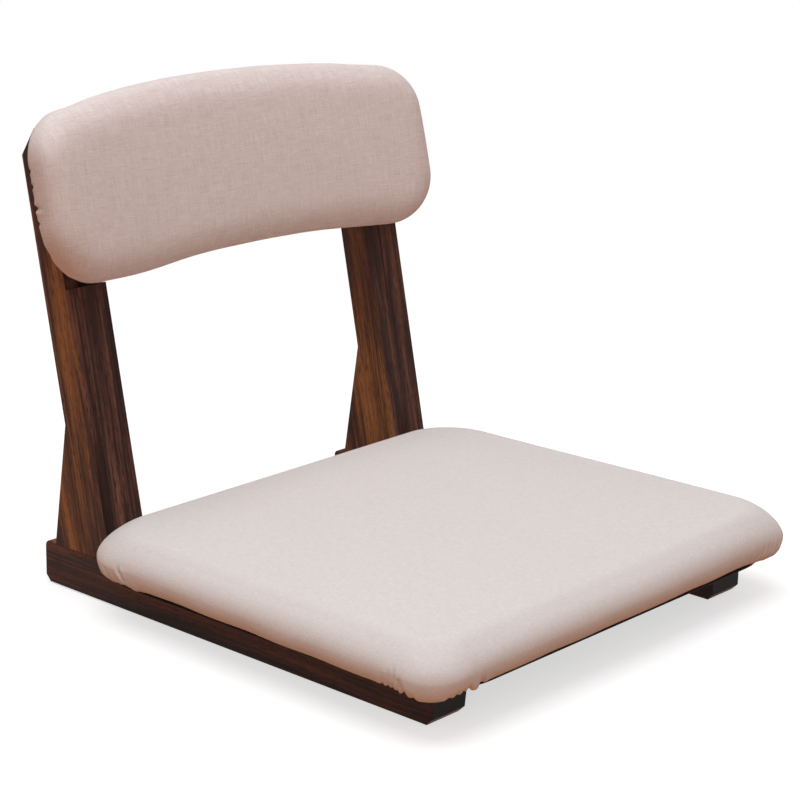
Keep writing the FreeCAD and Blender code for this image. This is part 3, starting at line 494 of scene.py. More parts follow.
def ring_places(ring):
    """For each point of a ring the nearest corner's number and the way from its middle, in mm."""
    steps = np.linalg.norm(np.roll(ring, -1, axis=0) - ring, axis=1) / MM
    walked = np.concatenate([[0], np.cumsum(steps)])
    middles = walked[[0, WIDE_COUNT, WIDE_COUNT + DEEP_COUNT, 2 * WIDE_COUNT + DEEP_COUNT]]
    ways = walked[:-1, None] - middles[None]
    ways = (ways + walked[-1] / 2) % walked[-1] - walked[-1] / 2
    nearest = np.abs(ways).argmin(axis=1)
    return nearest, ways[np.arange(len(ring)), nearest]


print("points round a pad:", 2 * (WIDE_COUNT + DEEP_COUNT))

# %% [markdown]
# ## Seat pad
# The seat pad is a slab of foam on a board, with the cover pulled over it and under. Seen from
# above it is a rectangle with rounded corners, a little wider at its front. Its top is crowned by
# a few millimetres, slopes down to its widest line and tucks in again to the hem, which faces
# the floor. Where its rear edge meets the uprights it rests against them.

# %% Seat pad sizes
seat_low, seat_high = (Vector(corner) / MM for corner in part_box("seat_cover"))
# how far the stuffed cover swells past the CAD one at its sides, front and rear
SIDE_SWELL = 3.5
FRONT_SWELL = 5.2
REAR_SWELL = 11
SEAT_HALF_WIDTH = seat_high.x + SIDE_SWELL
FRONT_SPREAD = 5
RIGHT_RISE = 3
RIGHT_SHORTER = 3.5
SEAT_FRONT = seat_low.y - FRONT_SWELL
SEAT_REAR = seat_high.y + REAR_SWELL
SEAT_HALF_DEPTH = (SEAT_REAR - SEAT_FRONT) / 2
SEAT_MIDDLE = (SEAT_REAR + SEAT_FRONT) / 2
FRONT_CORNER = 34
REAR_CORNER = 52
ROLL_WIDTH = 25
ROLL_HEIGHT = 23.5
ROLL_POWER = 1.52
HEM_RISE = 14
HEM_INSET = 9
SEAT_CROWN = 8
CROWN_POWER = 1.25
WIDEST = seat_low.z + HEM_RISE
CORE_INSET = 64
HEM_WIDTH = 38
# counts of rings on the top, the rolled edge, the tuck under it and the hem
SEAT_ROWS = (6, 17, 10, 7)


def seat_ring(inset):
    """The outline of the pad's plan, drawn in by an inset."""
    ease = 1 - inset / SEAT_HALF_WIDTH
    front, rear = FRONT_CORNER * ease, REAR_CORNER * ease
    x, y = SEAT_HALF_WIDTH - inset, SEAT_HALF_DEPTH - inset
    corners = [(front - x, front - y, front, 180, 270), (x - front, front - y, front, 270, 360),
               (x - rear, y - rear, rear, 0, 90), (rear - x, y - rear, rear, 90, 180)]
    return ring_points(corners, [None] * 4)


def seat_crown(flat):
    """Height of the crown over the top of the rolled edge."""
    u = np.clip(flat[..., 0] / (SEAT_HALF_WIDTH - ROLL_WIDTH), -1, 1)
    v = np.clip(flat[..., 1] / (SEAT_HALF_DEPTH - ROLL_WIDTH), -1, 1)
    return SEAT_CROWN * ((1 - u ** 4) * (1 - v ** 4)) ** CROWN_POWER


def smooth(low, high, value):
    """0 below low, 1 above high and an even curve between them."""
    share = np.clip((value - low) / (high - low), 0, 1)
    return share * share * (3 - 2 * share)


def place_seat(flat, height):
    """From the pad's own plan, in mm, to the chair, in metres. The pad is a little wider in front,
    and at its right end it is stuffed a little higher and ends a little sooner."""
    x, y = flat[..., 0], flat[..., 1]
    to_front = smooth(SEAT_HALF_DEPTH, -SEAT_HALF_DEPTH, y)
    wide = x * (1 + FRONT_SPREAD / SEAT_HALF_WIDTH * to_front)
    fuller = smooth(0, SEAT_HALF_WIDTH, x) * to_front
    rise = RIGHT_RISE * fuller * (height - seat_low.z) / (WIDEST + ROLL_HEIGHT - seat_low.z)
    return np.stack([wide, y + SEAT_MIDDLE + RIGHT_SHORTER * fuller, height + rise], axis=-1) * MM


# %% Seat pad mesh
def rounded(count, power):
    """Shares (across, up) round an edge, down from its top. Power 2 is round, and more is squarer."""
    turns = np.radians(np.linspace(90, 0, count))[1:]
    return np.column_stack([np.cos(turns), np.sin(turns)]).clip(0) ** (2 / power)


def seat_profile():
    """(inset, height without the crown) from the pad's middle to its hem."""
    top, roll, tuck, hem = SEAT_ROWS
    rows = [(inset, WIDEST + ROLL_HEIGHT) for inset in np.linspace(CORE_INSET, ROLL_WIDTH, top)[1:]]
    for across, up in rounded(roll, ROLL_POWER):
        rows.append((ROLL_WIDTH * (1 - across), WIDEST + ROLL_HEIGHT * up))
    for turn in np.radians(np.linspace(0, 90, tuck))[1:]:
        rows.append((HEM_INSET * (1 - math.cos(turn)), WIDEST - HEM_RISE * math.sin(turn)))
    return rows + [(inset, seat_low.z) for inset in np.linspace(HEM_INSET, HEM_WIDTH, hem)[1:]]


def lay_rings(profile, ring_at, start_inset):
    """The flat layout of rings along a profile, each outside the last by the cloth between."""
    start = ring_at(start_inset)
    outward = ring_at(start_inset - 1) - start
    outward /= np.linalg.norm(outward, axis=1, keepdims=True)
    walked, last, layouts = 0.0, profile[0], []
    for row in profile:
        walked += math.dist(row[:2], last[:2])
        last = row
        layouts.append((start + outward * walked) * MM)
    return layouts


def make_seat_pad():
    """The seat pad's closed mesh."""
    core = middle_grid(seat_ring(CORE_INSET))
    grid = place_seat(core, WIDEST + ROLL_HEIGHT + seat_crown(core))
    profile = seat_profile()
    rings, heights = [], []
    for inset, height in profile:
        plan = seat_ring(inset)
        crown = seat_crown(plan) if inset >= ROLL_WIDTH else 0
        rings.append(place_seat(plan, np.full(len(plan), height) + crown))
        under = max(0, inset - HEM_INSET) if height == seat_low.z else 0
        heights.append(height - seat_low.z - under)
    layouts = lay_rings([(CORE_INSET, WIDEST + ROLL_HEIGHT)] + profile, seat_ring, CORE_INSET)[1:]
    plan = middle_grid(seat_ring(HEM_WIDTH))
    underside = place_seat(plan, np.full(plan.shape[:2], seat_low.z))
    return pad_mesh("seat_pad_cover", grid, rings, underside, heights, core * MM, layouts, plan * MM)


seat_pad = make_seat_pad()
seat_pad.data.materials.append(seat_weave)
print("seat pad:", len(seat_pad.data.vertices), "points")

# %% [markdown]
# ## Back pad
# The back pad is bent about an upright axis in front of the chair and leans back. Its outline has
# an arched top and a hollow lower edge. It is laid out flat first, as (x, height, depth) in front
# of its rear face, then bent and leaned as one.

# %% Back pad sizes
BACK_LEAN = math.radians(14)
BACK_RADIUS = 957
BACK_RISE = 225
BACK_LET_IN = 6
LINING_THICK = 0.8
BACK_DEPTH = 38.7
BACK_CROWN = 5
COVER_EASE = 5.2
BACK_HALF_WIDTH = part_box("back_cover")[1].x / MM + COVER_EASE
BACK_HEIGHT = 142.8
TOP_ARCH = 21.4
LOWER_ARCH = 10.4
TOP_CORNER = 44
LEFT_LOWER_CORNER = 52
RIGHT_LOWER_CORNER = 44
FRONT_WIDTH = 32
FRONT_ROUNDING = 22
FRONT_POWER = 2.38
REAR_ROUNDING = 12
BACK_CORE_INSET = 38
LOWER_TILT = 3.5
# where the lower edge was pulled up or down: middle, reach to each side and rise
LOWER_PULLS = [(-118, 55, -4.4), (90, 80, 2)]
BACK_HEM = 32
# counts of rings on the front, its rounding, the rear rounding and the hem
BACK_ROWS = (3, 14, 7, 6)

upright_low, upright_high = (Vector(corner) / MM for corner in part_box("left_upright"))
MEMBER_MIDDLE = -(upright_low.x + upright_high.x) / 2
AXIS_DISTANCE = math.sqrt(BACK_RADIUS ** 2 - MEMBER_MIDDLE ** 2) - BACK_LET_IN
AXIS_Y = upright_low.y + BACK_RISE * math.sin(LEAN) - AXIS_DISTANCE * math.cos(BACK_LEAN)
AXIS_Z = upright_low.z + BACK_RISE * math.cos(LEAN) + AXIS_DISTANCE * math.sin(BACK_LEAN)

top_radius = (BACK_HALF_WIDTH ** 2 + TOP_ARCH ** 2) / (2 * TOP_ARCH)
lower_radius = (BACK_HALF_WIDTH ** 2 + LOWER_ARCH ** 2) / (2 * LOWER_ARCH)
top_centre = BACK_HEIGHT + TOP_ARCH - top_radius
lower_centre = LOWER_ARCH - lower_radius
top_corner_x = BACK_HALF_WIDTH - TOP_CORNER
top_corner_z = top_centre + math.sqrt((top_radius - TOP_CORNER) ** 2 - top_corner_x ** 2)


def lower_corner(radius):
    """x and height of a lower corner's centre, and the angle at which its arc meets the edge's."""
    x = BACK_HALF_WIDTH - radius
    z = lower_centre + math.sqrt((lower_radius + radius) ** 2 - x ** 2)
    return x, z, math.degrees(math.atan2(z - lower_centre, x))


def back_ring(inset):
    """The outline of the pad laid flat, drawn in by an inset."""
    upper = math.degrees(math.atan2(top_corner_z - top_centre, top_corner_x))
    left_x, left_z, left_turn = lower_corner(LEFT_LOWER_CORNER)
    right_x, right_z, right_turn = lower_corner(RIGHT_LOWER_CORNER)
    top = TOP_CORNER - inset
    corners = [(-left_x, left_z, LEFT_LOWER_CORNER - inset, 180, 360 - left_turn),
               (right_x, right_z, RIGHT_LOWER_CORNER - inset, 180 + right_turn, 360),
               (top_corner_x, top_corner_z, top, 0, upper),
               (-top_corner_x, top_corner_z, top, 180 - upper, 180)]
    return ring_points(corners, [np.array([0, lower_centre]), None, np.array([0, top_centre]), None])


def back_front_depth(flat):
    """Depth of the crowned front face over the rear one."""
    middle, reach = BACK_HEIGHT / 2, BACK_HEIGHT / 2 + TOP_ARCH
    return BACK_DEPTH - BACK_CROWN * ((flat[..., 1] - middle) / reach) ** 2


def place_back(flat, depth):
    """Bends the flat layout about the pad's axis, leans it back and sets it on the uprights. The
    lower edge was pulled unevenly: higher at its left end, fuller beside it, hollow further on."""
    x = flat[..., 0]
    pulled = -LOWER_TILT * x / BACK_HALF_WIDTH
    for middle, reach, rise in LOWER_PULLS:
        pulled = pulled + rise * np.exp(-((x - middle) / reach) ** 2)
    up = flat[..., 1] + pulled * np.clip(1 - flat[..., 1] / BACK_HEIGHT, 0, 1)
    out = np.sqrt((BACK_RADIUS - depth) ** 2 - x ** 2)
    y = AXIS_Y + out * math.cos(BACK_LEAN) + up * math.sin(BACK_LEAN)
    z = AXIS_Z - out * math.sin(BACK_LEAN) + up * math.cos(BACK_LEAN)
    return np.stack([x, y, z], axis=-1) * MM


# %% Back pad mesh
def back_profile():
    """(inset, depth behind the front face, depth over the rear face) out to the hem. One of the
    two depths is None."""
    face, front, rear, hem = BACK_ROWS
    rows = [(inset, 0, None) for inset in np.linspace(BACK_CORE_INSET, FRONT_WIDTH, face)[1:]]
    for across, out in rounded(front, FRONT_POWER):
        rows.append((FRONT_WIDTH * (1 - across), FRONT_ROUNDING * (1 - out), None))
    for turn in np.radians(np.linspace(0, 90, rear)):
        over = LINING_THICK + REAR_ROUNDING * (1 - math.sin(turn))
        rows.append((REAR_ROUNDING * (1 - math.cos(turn)), None, over))
    return rows + [(inset, None, LINING_THICK) for inset in np.linspace(REAR_ROUNDING, BACK_HEM, hem)[1:]]


def make_back_pad():
    """The back pad's closed mesh."""
    core = middle_grid(back_ring(BACK_CORE_INSET))
    grid = place_back(core, back_front_depth(core))
    rings, heights, track = [], [], [(BACK_CORE_INSET, 0)]
    for inset, behind, over in back_profile():
        plan = back_ring(inset)
        depth = back_front_depth(plan) - behind if over is None else np.full(len(plan), over)
        rings.append(place_back(plan, depth))
        middle = float(depth.mean())
        track.append((inset, BACK_DEPTH - middle))
        heights.append(middle - LINING_THICK if over != LINING_THICK else min(0, REAR_ROUNDING - inset))
    layouts = lay_rings(track, back_ring, BACK_CORE_INSET)[1:]
    plan = middle_grid(back_ring(BACK_HEM))
    rear = place_back(plan, np.full(plan.shape[:2], LINING_THICK))
    return pad_mesh("back_pad_cover", grid, rings, rear, heights, core * MM, layouts, plan * MM)


back_pad = make_back_pad()
back_pad.data.materials.append(back_weave)
print("back pad:", len(back_pad.data.vertices), "points")

# %% [markdown]
# ## Folds at the corners
# A flat cloth has to go round the pad's corners, so it is gathered there before it is stapled
# down, and each gather leaves a fold that fades out on its way up. The folds below were placed
# from the photograph: how far each is from its corner's middle at the hem, in mm
# anticlockwise, its half width, its depth, how far up it reaches, and how far it leans over that
# height.

# %% Folds
LOWER_LEFT, LOWER_RIGHT, UPPER_RIGHT, UPPER_LEFT = range(4)
SEAT_FOLDS = {
    LOWER_LEFT: [
        (-38, 2.0, 0.8, 15, 0), (-32.5, 2.0, 1.2, 21, -1), (-28, 1.8, 1.5, 24, 0), (-23.5, 1.9, 1.2, 18, 1),
        (-17, 2.2, 1.8, 14, -6), (-11.5, 1.8, 1.0, 9, -4), (9, 1.8, 0.7, 8, 2), (14, 1.7, 0.9, 9, 2),
        (19, 1.8, 1.0, 9, 2), (24.5, 2.0, 1.1, 9, 2), (39, 2.6, 1.0, 12, 1)],
    LOWER_RIGHT: [
        (-46, 1.8, 0.8, 12, 2), (-39, 1.8, 1.2, 16, 3), (-32, 1.8, 1.4, 20, 4), (-26, 1.9, 1.6, 24, 5),
        (-19, 2.3, 1.6, 28, 5), (-11, 2.0, 1.3, 22, 3), (-3, 1.8, 0.8, 13, 0), (8, 1.9, 1.1, 16, -3),
        (17, 1.8, 1.1, 13, -4), (27, 1.9, 1.0, 15, -5)],
    UPPER_RIGHT: [
        (-29, 1.8, 0.9, 15, 6), (-20, 1.8, 1.1, 17, 5), (-11, 2.0, 1.2, 18, 3), (-2, 1.8, 0.9, 14, 0),
        (8, 1.9, 1.1, 17, -3), (17, 1.8, 1.0, 15, -5), (29, 1.8, 0.9, 12, -6)],
    UPPER_LEFT: [
        (-26, 1.9, 0.8, 14, 6), (-17, 1.8, 0.9, 13, 4), (-8, 1.8, 0.7, 12, 0), (4, 1.8, 0.7, 12, -2),
        (12, 1.8, 0.9, 14, -4), (20, 1.8, 1.1, 16, -7), (28, 1.9, 1.2, 18, -9), (35, 1.8, 0.8, 13, -7),
        (46, 2.2, 2.1, 21, -12), (53, 1.8, 0.9, 12, -8)],
}
BACK_FOLDS = {
    LOWER_LEFT: [
        (-42, 1.8, 0.9, 10, 2), (-31, 2.0, 1.6, 15, 2), (-19, 1.7, 0.8, 10, 3), (-6, 1.6, 0.7, 9, 0),
        (8, 1.7, 0.9, 11, -2), (21, 1.9, 1.5, 12, -3), (28, 1.6, 1.1, 10, -2), (40, 1.8, 0.7, 9, 0)],
    LOWER_RIGHT: [
        (-34, 1.8, 0.8, 9, 2), (-22, 1.7, 1.0, 11, 3), (-9, 1.8, 1.1, 12, 2), (4, 1.7, 0.9, 11, 0),
        (16, 1.8, 1.1, 12, -2), (29, 1.9, 0.8, 10, -3)],
    UPPER_RIGHT: [
        (-25, 1.8, 0.8, 10, 3), (-13, 1.7, 1.0, 12, 2), (-2, 1.7, 0.8, 10, 0), (10, 1.8, 1.0, 12, -2),
        (22, 1.8, 0.8, 9, -3)],
    UPPER_LEFT: [
        (-24, 1.8, 0.9, 10, 3), (-14, 1.9, 1.4, 14, 2), (-4, 1.7, 0.8, 10, 0), (9, 1.7, 0.8, 10, -2),
        (22, 1.7, 0.9, 11, -3), (40, 2.1, 1.7, 16, -1), (50, 1.6, 0.7, 9, 0)],
}
NARROWEST_FOLD = 1.7
# the ridge beside a crease: its way from it in half widths, and its share of the depth
RIDGE_AWAY = 1.8
RIDGE_SHARE = 0.5


def fold_shift(places, folds, widening):
    """How far the folds push each point outwards, in mm: a crease with a soft ridge at each side."""
    corner, along, height = places.T
    shift = np.zeros(len(places))
    for number, rows in folds.items():
        for place, width, depth, reach, lean in rows:
            up = np.clip(height / reach, 0, 1)
            grown = smooth(1, 0.3, height / reach) * smooth(-12, 0, height) * (corner.round() == number)
            away = (along - place - lean * up) / (max(width, NARROWEST_FOLD) * widening)
            crease = -np.exp(-away ** 2)
            ridges = RIDGE_SHARE * np.exp(-(np.abs(away) - RIDGE_AWAY) ** 2)
            shift += depth * grown * (crease + ridges)
    return shift


def read(piece):
    """A piece's points, their normals and their places round the pad."""
    mesh = piece.data
    values = []
    for source, name in ((mesh.vertices, "co"), (mesh.vertices, "normal"),
                         (mesh.attributes["ring_place"].data, "vector")):
        flat = np.zeros(len(mesh.vertices) * 3)
        source.foreach_get(name, flat)
        values.append(flat.reshape(-1, 3))
    places = values[2]
    # a point that subdividing put between two corners' reaches is in no fold
    between_corners = np.abs(places[:, 0] - places[:, 0].round()) > 0.01
    places[between_corners, 1] = FAR
    return values


print("folds:", sum(len(rows) for table in (SEAT_FOLDS, BACK_FOLDS) for rows in table.values()))

# %% [markdown]
# ## The covers are simulated as cloth
# Each cover starts a little smaller than the pad, with its folds laid in flat. The springs of the
# cloth are those of a cover with deeper folds, so there is spare cloth at the corners, and a light
# pressure from the foam pushes it out. The hem is held as the staples hold it. The result is kept
# within a millimetre or two of the shape that was measured from the photograph.

# %% Cloth simulation
FRAMES = 20
START_SMALLER = 0.6
START_FOLD_SHARE = 0.4
SPARE_FOLD_SHARE = 0.8
SPARE_FOLD_WIDER = 1.6
HELD_AT_TOP = 8
# the most that the cover may move from the measured shape
SEAT_MOVES_TO = 1.5
BACK_MOVES_TO = 0.6


def simulate_cover(piece, folds, limit):
    """Lets the edge of a cover swell and settle. Its middle and the cloth under it are held."""
    points, normals, places = read(piece)
    height = places[:, 2]
    top = height[height < FAR / 2].max()
    loose = smooth(-3, 1, height) * smooth(top, top - HELD_AT_TOP, height)
    gathers = fold_shift(places, folds, SPARE_FOLD_WIDER) * loose
    smaller = points - normals * (START_SMALLER * loose * MM)[:, None]
    start = smaller + normals * (START_FOLD_SHARE * gathers * MM)[:, None]
    slack = smaller + normals * (SPARE_FOLD_SHARE * gathers * MM)[:, None]

    work = piece.copy()
    work.data = piece.data.copy()
    bpy.context.scene.collection.objects.link(work)
    work.data.vertices.foreach_set("co", start.ravel())
    work.shape_key_add(name="Basis")
    key = work.shape_key_add(name="slack")
    key.data.foreach_set("co", slack.ravel())
    held = work.vertex_groups.new(name="held")
    tight = (1 - loose).round(1)
    for weight in np.unique(tight[tight > 0]):
        held.add(np.flatnonzero(tight == weight).tolist(), float(weight), "REPLACE")
    cloth = work.modifiers.new("cloth", "CLOTH")
    cloth.settings.quality = 5
    cloth.settings.mass = 0.3
    cloth.settings.bending_stiffness = 0.2
    cloth.settings.use_pressure = True
    cloth.settings.uniform_pressure_force = 4
    cloth.settings.effector_weights.gravity = 0
    cloth.settings.vertex_group_mass = "held"
    cloth.settings.rest_shape_key = key
    cloth.collision_settings.use_collision = False
    cloth.point_cache.frame_end = FRAMES
    for number in range(1, FRAMES + 1):
        bpy.context.scene.frame_set(number)
    result = work.evaluated_get(bpy.context.evaluated_depsgraph_get()).data
    settled = np.zeros(len(points) * 3)
    result.vertices.foreach_get("co", settled)
    moved = settled.reshape(-1, 3) - points
    bpy.data.objects.remove(work)
    bpy.context.scene.frame_set(1)
    length = np.linalg.norm(moved, axis=1) / MM
    print(piece.name, "moved by", round(float(length[loose > 0].mean()), 2), "mm on average,",
          round(float(length.max()), 1), "at most")
    moved *= (np.minimum(length, limit) / np.maximum(length, 1e-6))[:, None]
    piece.data.vertices.foreach_set("co", (points + moved).ravel())
    piece.data.update()


simulate_cover(seat_pad, SEAT_FOLDS, SEAT_MOVES_TO)
simulate_cover(back_pad, BACK_FOLDS, BACK_MOVES_TO)

# %% [markdown]
# ## Creases, the hem's droop and small unevenness
# The mesh is subdivided once, and then gets what is narrower than the simulated cloth's points:
# the creases themselves. Where the hem hangs free of the rails it droops by a few millimetres, the
# most under the front left corner, as in the photograph.

# %% Fine folds and droop
SEAT_DROOP = {LOWER_LEFT: [(-1, 15, 5.2), (32, 5, 3.0)], LOWER_RIGHT: [(-16, 14, 1.8)],
              UPPER_RIGHT: [(0, 15, 1.2)], UPPER_LEFT: [(14, 14, 1.8), (50, 6, 0.8)]}
rail_low, rail_high = (Vector(corner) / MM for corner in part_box("left_rail"))
UPRIGHT_GAP = 0.4
BESIDE_UPRIGHT = 14
CREASE_WIDER = 0.95
UNEVENNESS = 0.3


def bake(piece):
    """Puts the mesh that a piece's modifiers make in place of its own."""
    mesh = bpy.data.meshes.new_from_object(piece.evaluated_get(bpy.context.evaluated_depsgraph_get()))
    piece.modifiers.clear()
    piece.data = mesh


def droop(points, places):
    """How far the hem hangs down, in mm, where it is clear of the rails."""
    corner, along, height = places.T
    drop = np.zeros(len(places))
    for number, rows in SEAT_DROOP.items():
        for place, width, depth in rows:
            drop += depth * np.exp(-((along - place) / width) ** 2) * (corner.round() == number)
    clear = np.maximum(np.abs(points[:, 0]) + rail_low.x * MM, rail_low.y * MM - points[:, 1]) / MM
    return drop * smooth(22, 4, height) * smooth(2, 14, clear)


def rest_on_uprights(points):
    """Pushes points that reach into the uprights forward to their front faces."""
    x, y, z = points.T / MM
    face = upright_low.y + (z - upright_low.z) * math.tan(LEAN) - UPRIGHT_GAP
    beside = np.maximum(-upright_high.x - np.abs(x), np.abs(x) + upright_low.x)
    reach = face + BESIDE_UPRIGHT * smooth(0, 16, beside)
    points[:, 1] = np.minimum(y, reach) * MM


def finish_cover(piece, folds, hanging):
    """Subdivides a cover, then adds its creases, small unevenness and, where it hangs, the droop."""
    modifier = piece.modifiers.new("rounder", "SUBSURF")
    modifier.levels = modifier.render_levels = 1
    bake(piece)
    piece.data.shade_smooth()
    points, normals, places = read(piece)
    height = places[:, 2]
    shift = fold_shift(places, folds, CREASE_WIDER)
    x, y, z = points.T / MM
    short_waves = np.sin(x / 9.3 + z / 21) * np.sin(y / 11.7 + z / 17)
    waves = short_waves + np.sin((x + y) / 24.1) * np.sin((y - x) / 31.3)
    near_hem = smooth(20, 3, height) * smooth(-8, -1, height) * (height < FAR / 2)
    shift += UNEVENNESS * waves * near_hem
    moved = points + normals * (shift * MM)[:, None]
    if hanging:
        moved[:, 2] -= droop(points, places) * MM
        rest_on_uprights(moved)
    piece.data.vertices.foreach_set("co", moved.ravel())
    piece.data.update()
    print(piece.name, len(piece.data.polygons), "faces, creases to", round(float(-shift.min()), 1), "mm")


finish_cover(seat_pad, SEAT_FOLDS, True)
finish_cover(back_pad, BACK_FOLDS, False)

# %% Pads take the place of the CAD solids
for pad, nodes, slot in ((seat_pad, ("seat_cover", "seat_foam"), "seat_fabric"),
                         (back_pad, ("back_cover", "back_foam"), "back_fabric")):
    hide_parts(*nodes)
    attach(pad, "root")

# %% [markdown]
# ## The two thin cloths
# A dark felted cloth, half a millimetre thick, is stapled over the underside of the seat board, so
# that no dust falls out of the foam. It lies between the board and the rails, sags a little
# between them, and its free edge shows as a dark line under the front of the pad. The same cloth
# closes the rear of the back pad and is bent with it. Both were cut flat with rounded corners.

# %% Cloth sheets
def cloth_sheet(name, plan, place):
    """A closed thin mesh over a grid of plan points. place gives a plan point's place on the chair
    for a share of the cloth's thickness."""
    rows, columns = plan.shape[:2]
    count = rows * columns
    points = np.concatenate([place(plan, 1.0).reshape(-1, 3), place(plan, 0.0).reshape(-1, 3)])
    numbers = np.arange(count).reshape(rows, columns)
    border = border_numbers(rows, columns)
    ahead = np.roll(border, -1)
    rim = np.column_stack([border, border + count, ahead + count, ahead])
    faces = np.concatenate([grid_faces(numbers), grid_faces(numbers + count)[:, ::-1], rim])
    mesh = bpy.data.meshes.new(name)
    mesh.from_pydata(points.tolist(), [], faces.tolist())
    mesh.materials.append(lining_felt)
    return new_object(name, mesh)


lining_felt = fibrous("dark_felted_lining", "#3A312D", "#231C19", 700, (1, 1, 1), 0.95)

# %% Seat underlay
UNDERLAY_INSET = 8
UNDERLAY_CORNER = 62
UNDERLAY_THICK = 0.5
UNDERLAY_SAG = 1.5
EDGE_DROP = 0.55
OVER_RAIL = 0.04


def underlay_plan():
    """A grid inside a rounded rectangle a little smaller than the pad."""
    x = SEAT_HALF_WIDTH + FRONT_SPREAD / 2 - UNDERLAY_INSET - UNDERLAY_CORNER
    y = SEAT_HALF_DEPTH - UNDERLAY_INSET - UNDERLAY_CORNER
    corners = [(x * side, y * end, UNDERLAY_CORNER, first, first + 90)
               for side, end, first in ((-1, -1, 180), (1, -1, 270), (1, 1, 0), (-1, 1, 90))]
    return middle_grid(ring_points(corners, [None] * 4))


def place_underlay(plan, share):
    """Lays the underlay on the rails. It sags between them, and its free edges hang past them."""
    x, y = np.abs(plan[..., 0]), plan[..., 1]
    points = np.stack([plan[..., 0], y + SEAT_MIDDLE, np.full(x.shape, rail_high.z + OVER_RAIL)], axis=-1)
    between = smooth(0, 60, -rail_high.x - x) * smooth(SEAT_HALF_DEPTH - 22, SEAT_HALF_DEPTH - 80, np.abs(y))
    ahead = smooth(-20, 0, -y - SEAT_HALF_DEPTH + UNDERLAY_INSET) * smooth(0, 6, rail_low.y - points[..., 1])
    aside = smooth(-18, 0, x - x.max()) * smooth(0, 6, x + rail_low.x)
    points[..., 2] += UNDERLAY_THICK * share - UNDERLAY_SAG * between - EDGE_DROP * np.maximum(ahead, aside)
    return points * MM


# %% Back lining
HEM_SHOWN = 13
LINING_INSET = COVER_EASE + HEM_SHOWN
LINING_GAP = 0.06


def place_lining(plan, share):
    """Lays the lining on the pad's rear face, clear of what lies on either side."""
    return place_back(plan, LINING_GAP + (LINING_THICK - 2 * LINING_GAP) * share)


# %% Both sheets take the place of the CAD solids
lining_plan = middle_grid(back_ring(LINING_INSET))
for node, plan, place, members in (
        ("seat_underlay", underlay_plan(), place_underlay, ["left_rail", "right_rail"]),
        ("back_lining", lining_plan, place_lining, ["left_upright", "right_upright"])):
    sheet = cloth_sheet(f"{node}_felt", plan, place)
    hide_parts(node)
    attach(sheet, "root")

# %% [markdown]
# ## Staples
# The cloth is held by wire staples, driven in along the edges of both boards. Each is bent from
# round zinc-plated wire: a straight crown and two legs. One Geometry Nodes tree bends the wire,
# sets a staple on every given point with its legs into the board, and turns them into a mesh. The
# points and directions are read from the CAD model's own staples, which these replace.

# %% Staple tree
WIRE_RADIUS = 0.35
WIRE_SIDES = 8
BEND_RADIUS = 0.8
BEND_STEPS = 4
STAPLE_CROWN = 9.3
STAPLE_LEG = 8.0


def staple_tree(material):
    """Geometry Nodes that set a bent wire staple on every given point."""
    tree = bpy.data.node_groups.new("wire_staples", "GeometryNodeTree")
    face = tree.interface
    face.new_socket("Places", in_out="INPUT", socket_type="NodeSocketGeometry")
    for name in ("Crown Width", "Leg Length", "Wire Radius", "Bend Radius"):
        face.new_socket(name, in_out="INPUT", socket_type="NodeSocketFloat")
    face.new_socket("Geometry", in_out="OUTPUT", socket_type="NodeSocketGeometry")
    given = add(tree, "NodeGroupInput").outputs
    # an open rectangle is the crown and the two legs, the crown on its left side
    wire = add(tree, "GeometryNodeCurvePrimitiveQuadrilateral", Width=given["Leg Length"],
               Height=given["Crown Width"])
    wire = add(tree, "GeometryNodeSetSplineCyclic", Geometry=wire, Cyclic=False)
    half = add(tree, "Math", {"operation": "MULTIPLY"}, in0=given["Leg Length"], in1=0.5)
    along = add(tree, "CombineXYZ", X=half)
    wire = add(tree, "GeometryNodeTransform", Geometry=wire, Translation=along)
    bent = add(tree, "GeometryNodeFilletCurve", {"mode": "POLY"}, Curve=wire,
               Radius=given["Bend Radius"], Count=BEND_STEPS)
    section = add(tree, "GeometryNodeCurvePrimitiveCircle", Resolution=WIRE_SIDES,
                  Radius=given["Wire Radius"])
    staple = add(tree, "GeometryNodeCurveToMesh", Curve=bent, Profile_Curve=section, Fill_Caps=True)
    turn = add(tree, "GeometryNodeInputNamedAttribute", {"data_type": "FLOAT_VECTOR"}, Name="turn")
    turned = add(tree, "FunctionNodeEulerToRotation", Euler=turn)
    placed = add(tree, "GeometryNodeInstanceOnPoints", Points=given["Places"], Instance=staple,
                 Rotation=turned)
    real = add(tree, "GeometryNodeRealizeInstances", Geometry=placed)
    round_wire = add(tree, "GeometryNodeSetShadeSmooth", Geometry=real)
    shown = add(tree, "GeometryNodeSetMaterial", Geometry=round_wire, Material=material)
    add(tree, "NodeGroupOutput", in0=shown)
    return tree


# %% Places of the staples
def islands(mesh):
    """Arrays of the points of each loose part of a mesh, once points in one place are joined."""
    corners = np.array([vertex.co[:] for vertex in mesh.vertices])
    points, joined = np.unique(corners.round(6), axis=0, return_inverse=True)
    part = np.arange(len(points))
    edges = joined.ravel()[np.array([edge.vertices[:] for edge in mesh.edges])]
    while True:
        low = np.minimum(part[edges[:, 0]], part[edges[:, 1]])
        before = part.copy()
        np.minimum.at(part, edges[:, 0], low)
        np.minimum.at(part, edges[:, 1], low)
        if (part == before).all():
            return [points[part == number] for number in np.unique(part)]


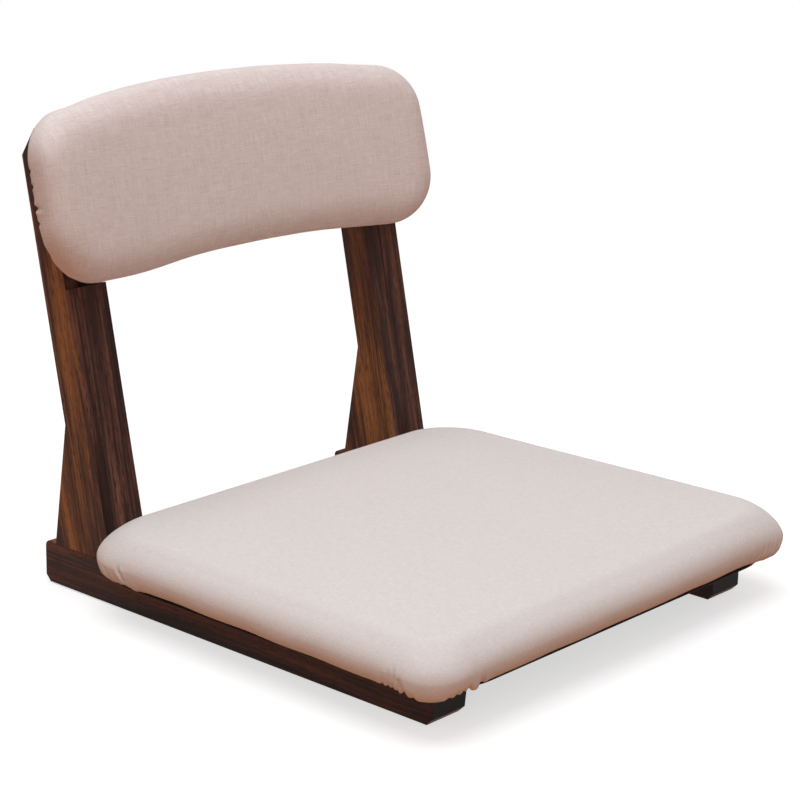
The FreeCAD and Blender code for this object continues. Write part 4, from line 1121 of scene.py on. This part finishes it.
def staple_places(node, legs_along):
    """The middle of each staple's crown, and the Euler turn that sets its legs and its crown."""
    places, turns = [], []
    for points in islands(frame["nodes"][node].data):
        legs = legs_along(points.mean(axis=0))
        deep = points @ legs
        crown = points[deep < deep.min() + 2 * WIRE_RADIUS * MM]
        spread = crown - crown.mean(axis=0)
        spread -= np.outer(spread @ legs, legs)
        across = np.linalg.svd(spread, full_matrices=False)[2][0]
        middle = (crown @ across).max() / 2 + (crown @ across).min() / 2
        third = np.cross(legs, across)
        place = across * middle + legs * (deep.min() + WIRE_RADIUS * MM) + third * (crown @ third).mean()
        places.append(place)
        turns.append(Matrix(np.column_stack([legs, across, third]).tolist()).to_euler()[:])
    return np.array(places), np.array(turns)


def into_back_board(point):
    """The way from the back pad's rear face to its front one, at a point in metres."""
    x = point[0] / MM / BACK_RADIUS
    out = math.sqrt(1 - x * x)
    return -np.array([x, out * math.cos(BACK_LEAN), -out * math.sin(BACK_LEAN)])


def make_staples(name, node, legs_along, tree):
    """One mesh of staples at the places of a CAD node's own."""
    places, turns = staple_places(node, legs_along)
    mesh = bpy.data.meshes.new(name)
    mesh.from_pydata(places.tolist(), [], [])
    mesh.attributes.new("turn", "FLOAT_VECTOR", "POINT").data.foreach_set("vector", turns.ravel())
    piece = new_object(name, mesh)
    modifier = piece.modifiers.new("staples", "NODES")
    modifier.node_group = tree
    sizes = {"Crown Width": STAPLE_CROWN, "Leg Length": STAPLE_LEG, "Wire Radius": WIRE_RADIUS,
             "Bend Radius": BEND_RADIUS}
    for item in tree.interface.items_tree:
        if item.name in sizes and item.in_out == "INPUT":
            modifier[item.identifier] = sizes[item.name] * MM
    bake(piece)
    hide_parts(node)
    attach(piece, "root")
    print(name, len(places), "staples,", len(piece.data.polygons), "faces")


wire_tree = staple_tree(FINISHES["zinc_steel"])
make_staples("seat_staple_wires", "seat_staples", lambda point: np.array([0.0, 0.0, 1.0]), wire_tree)
make_staples("back_staple_wires", "back_staples", into_back_board, wire_tree)
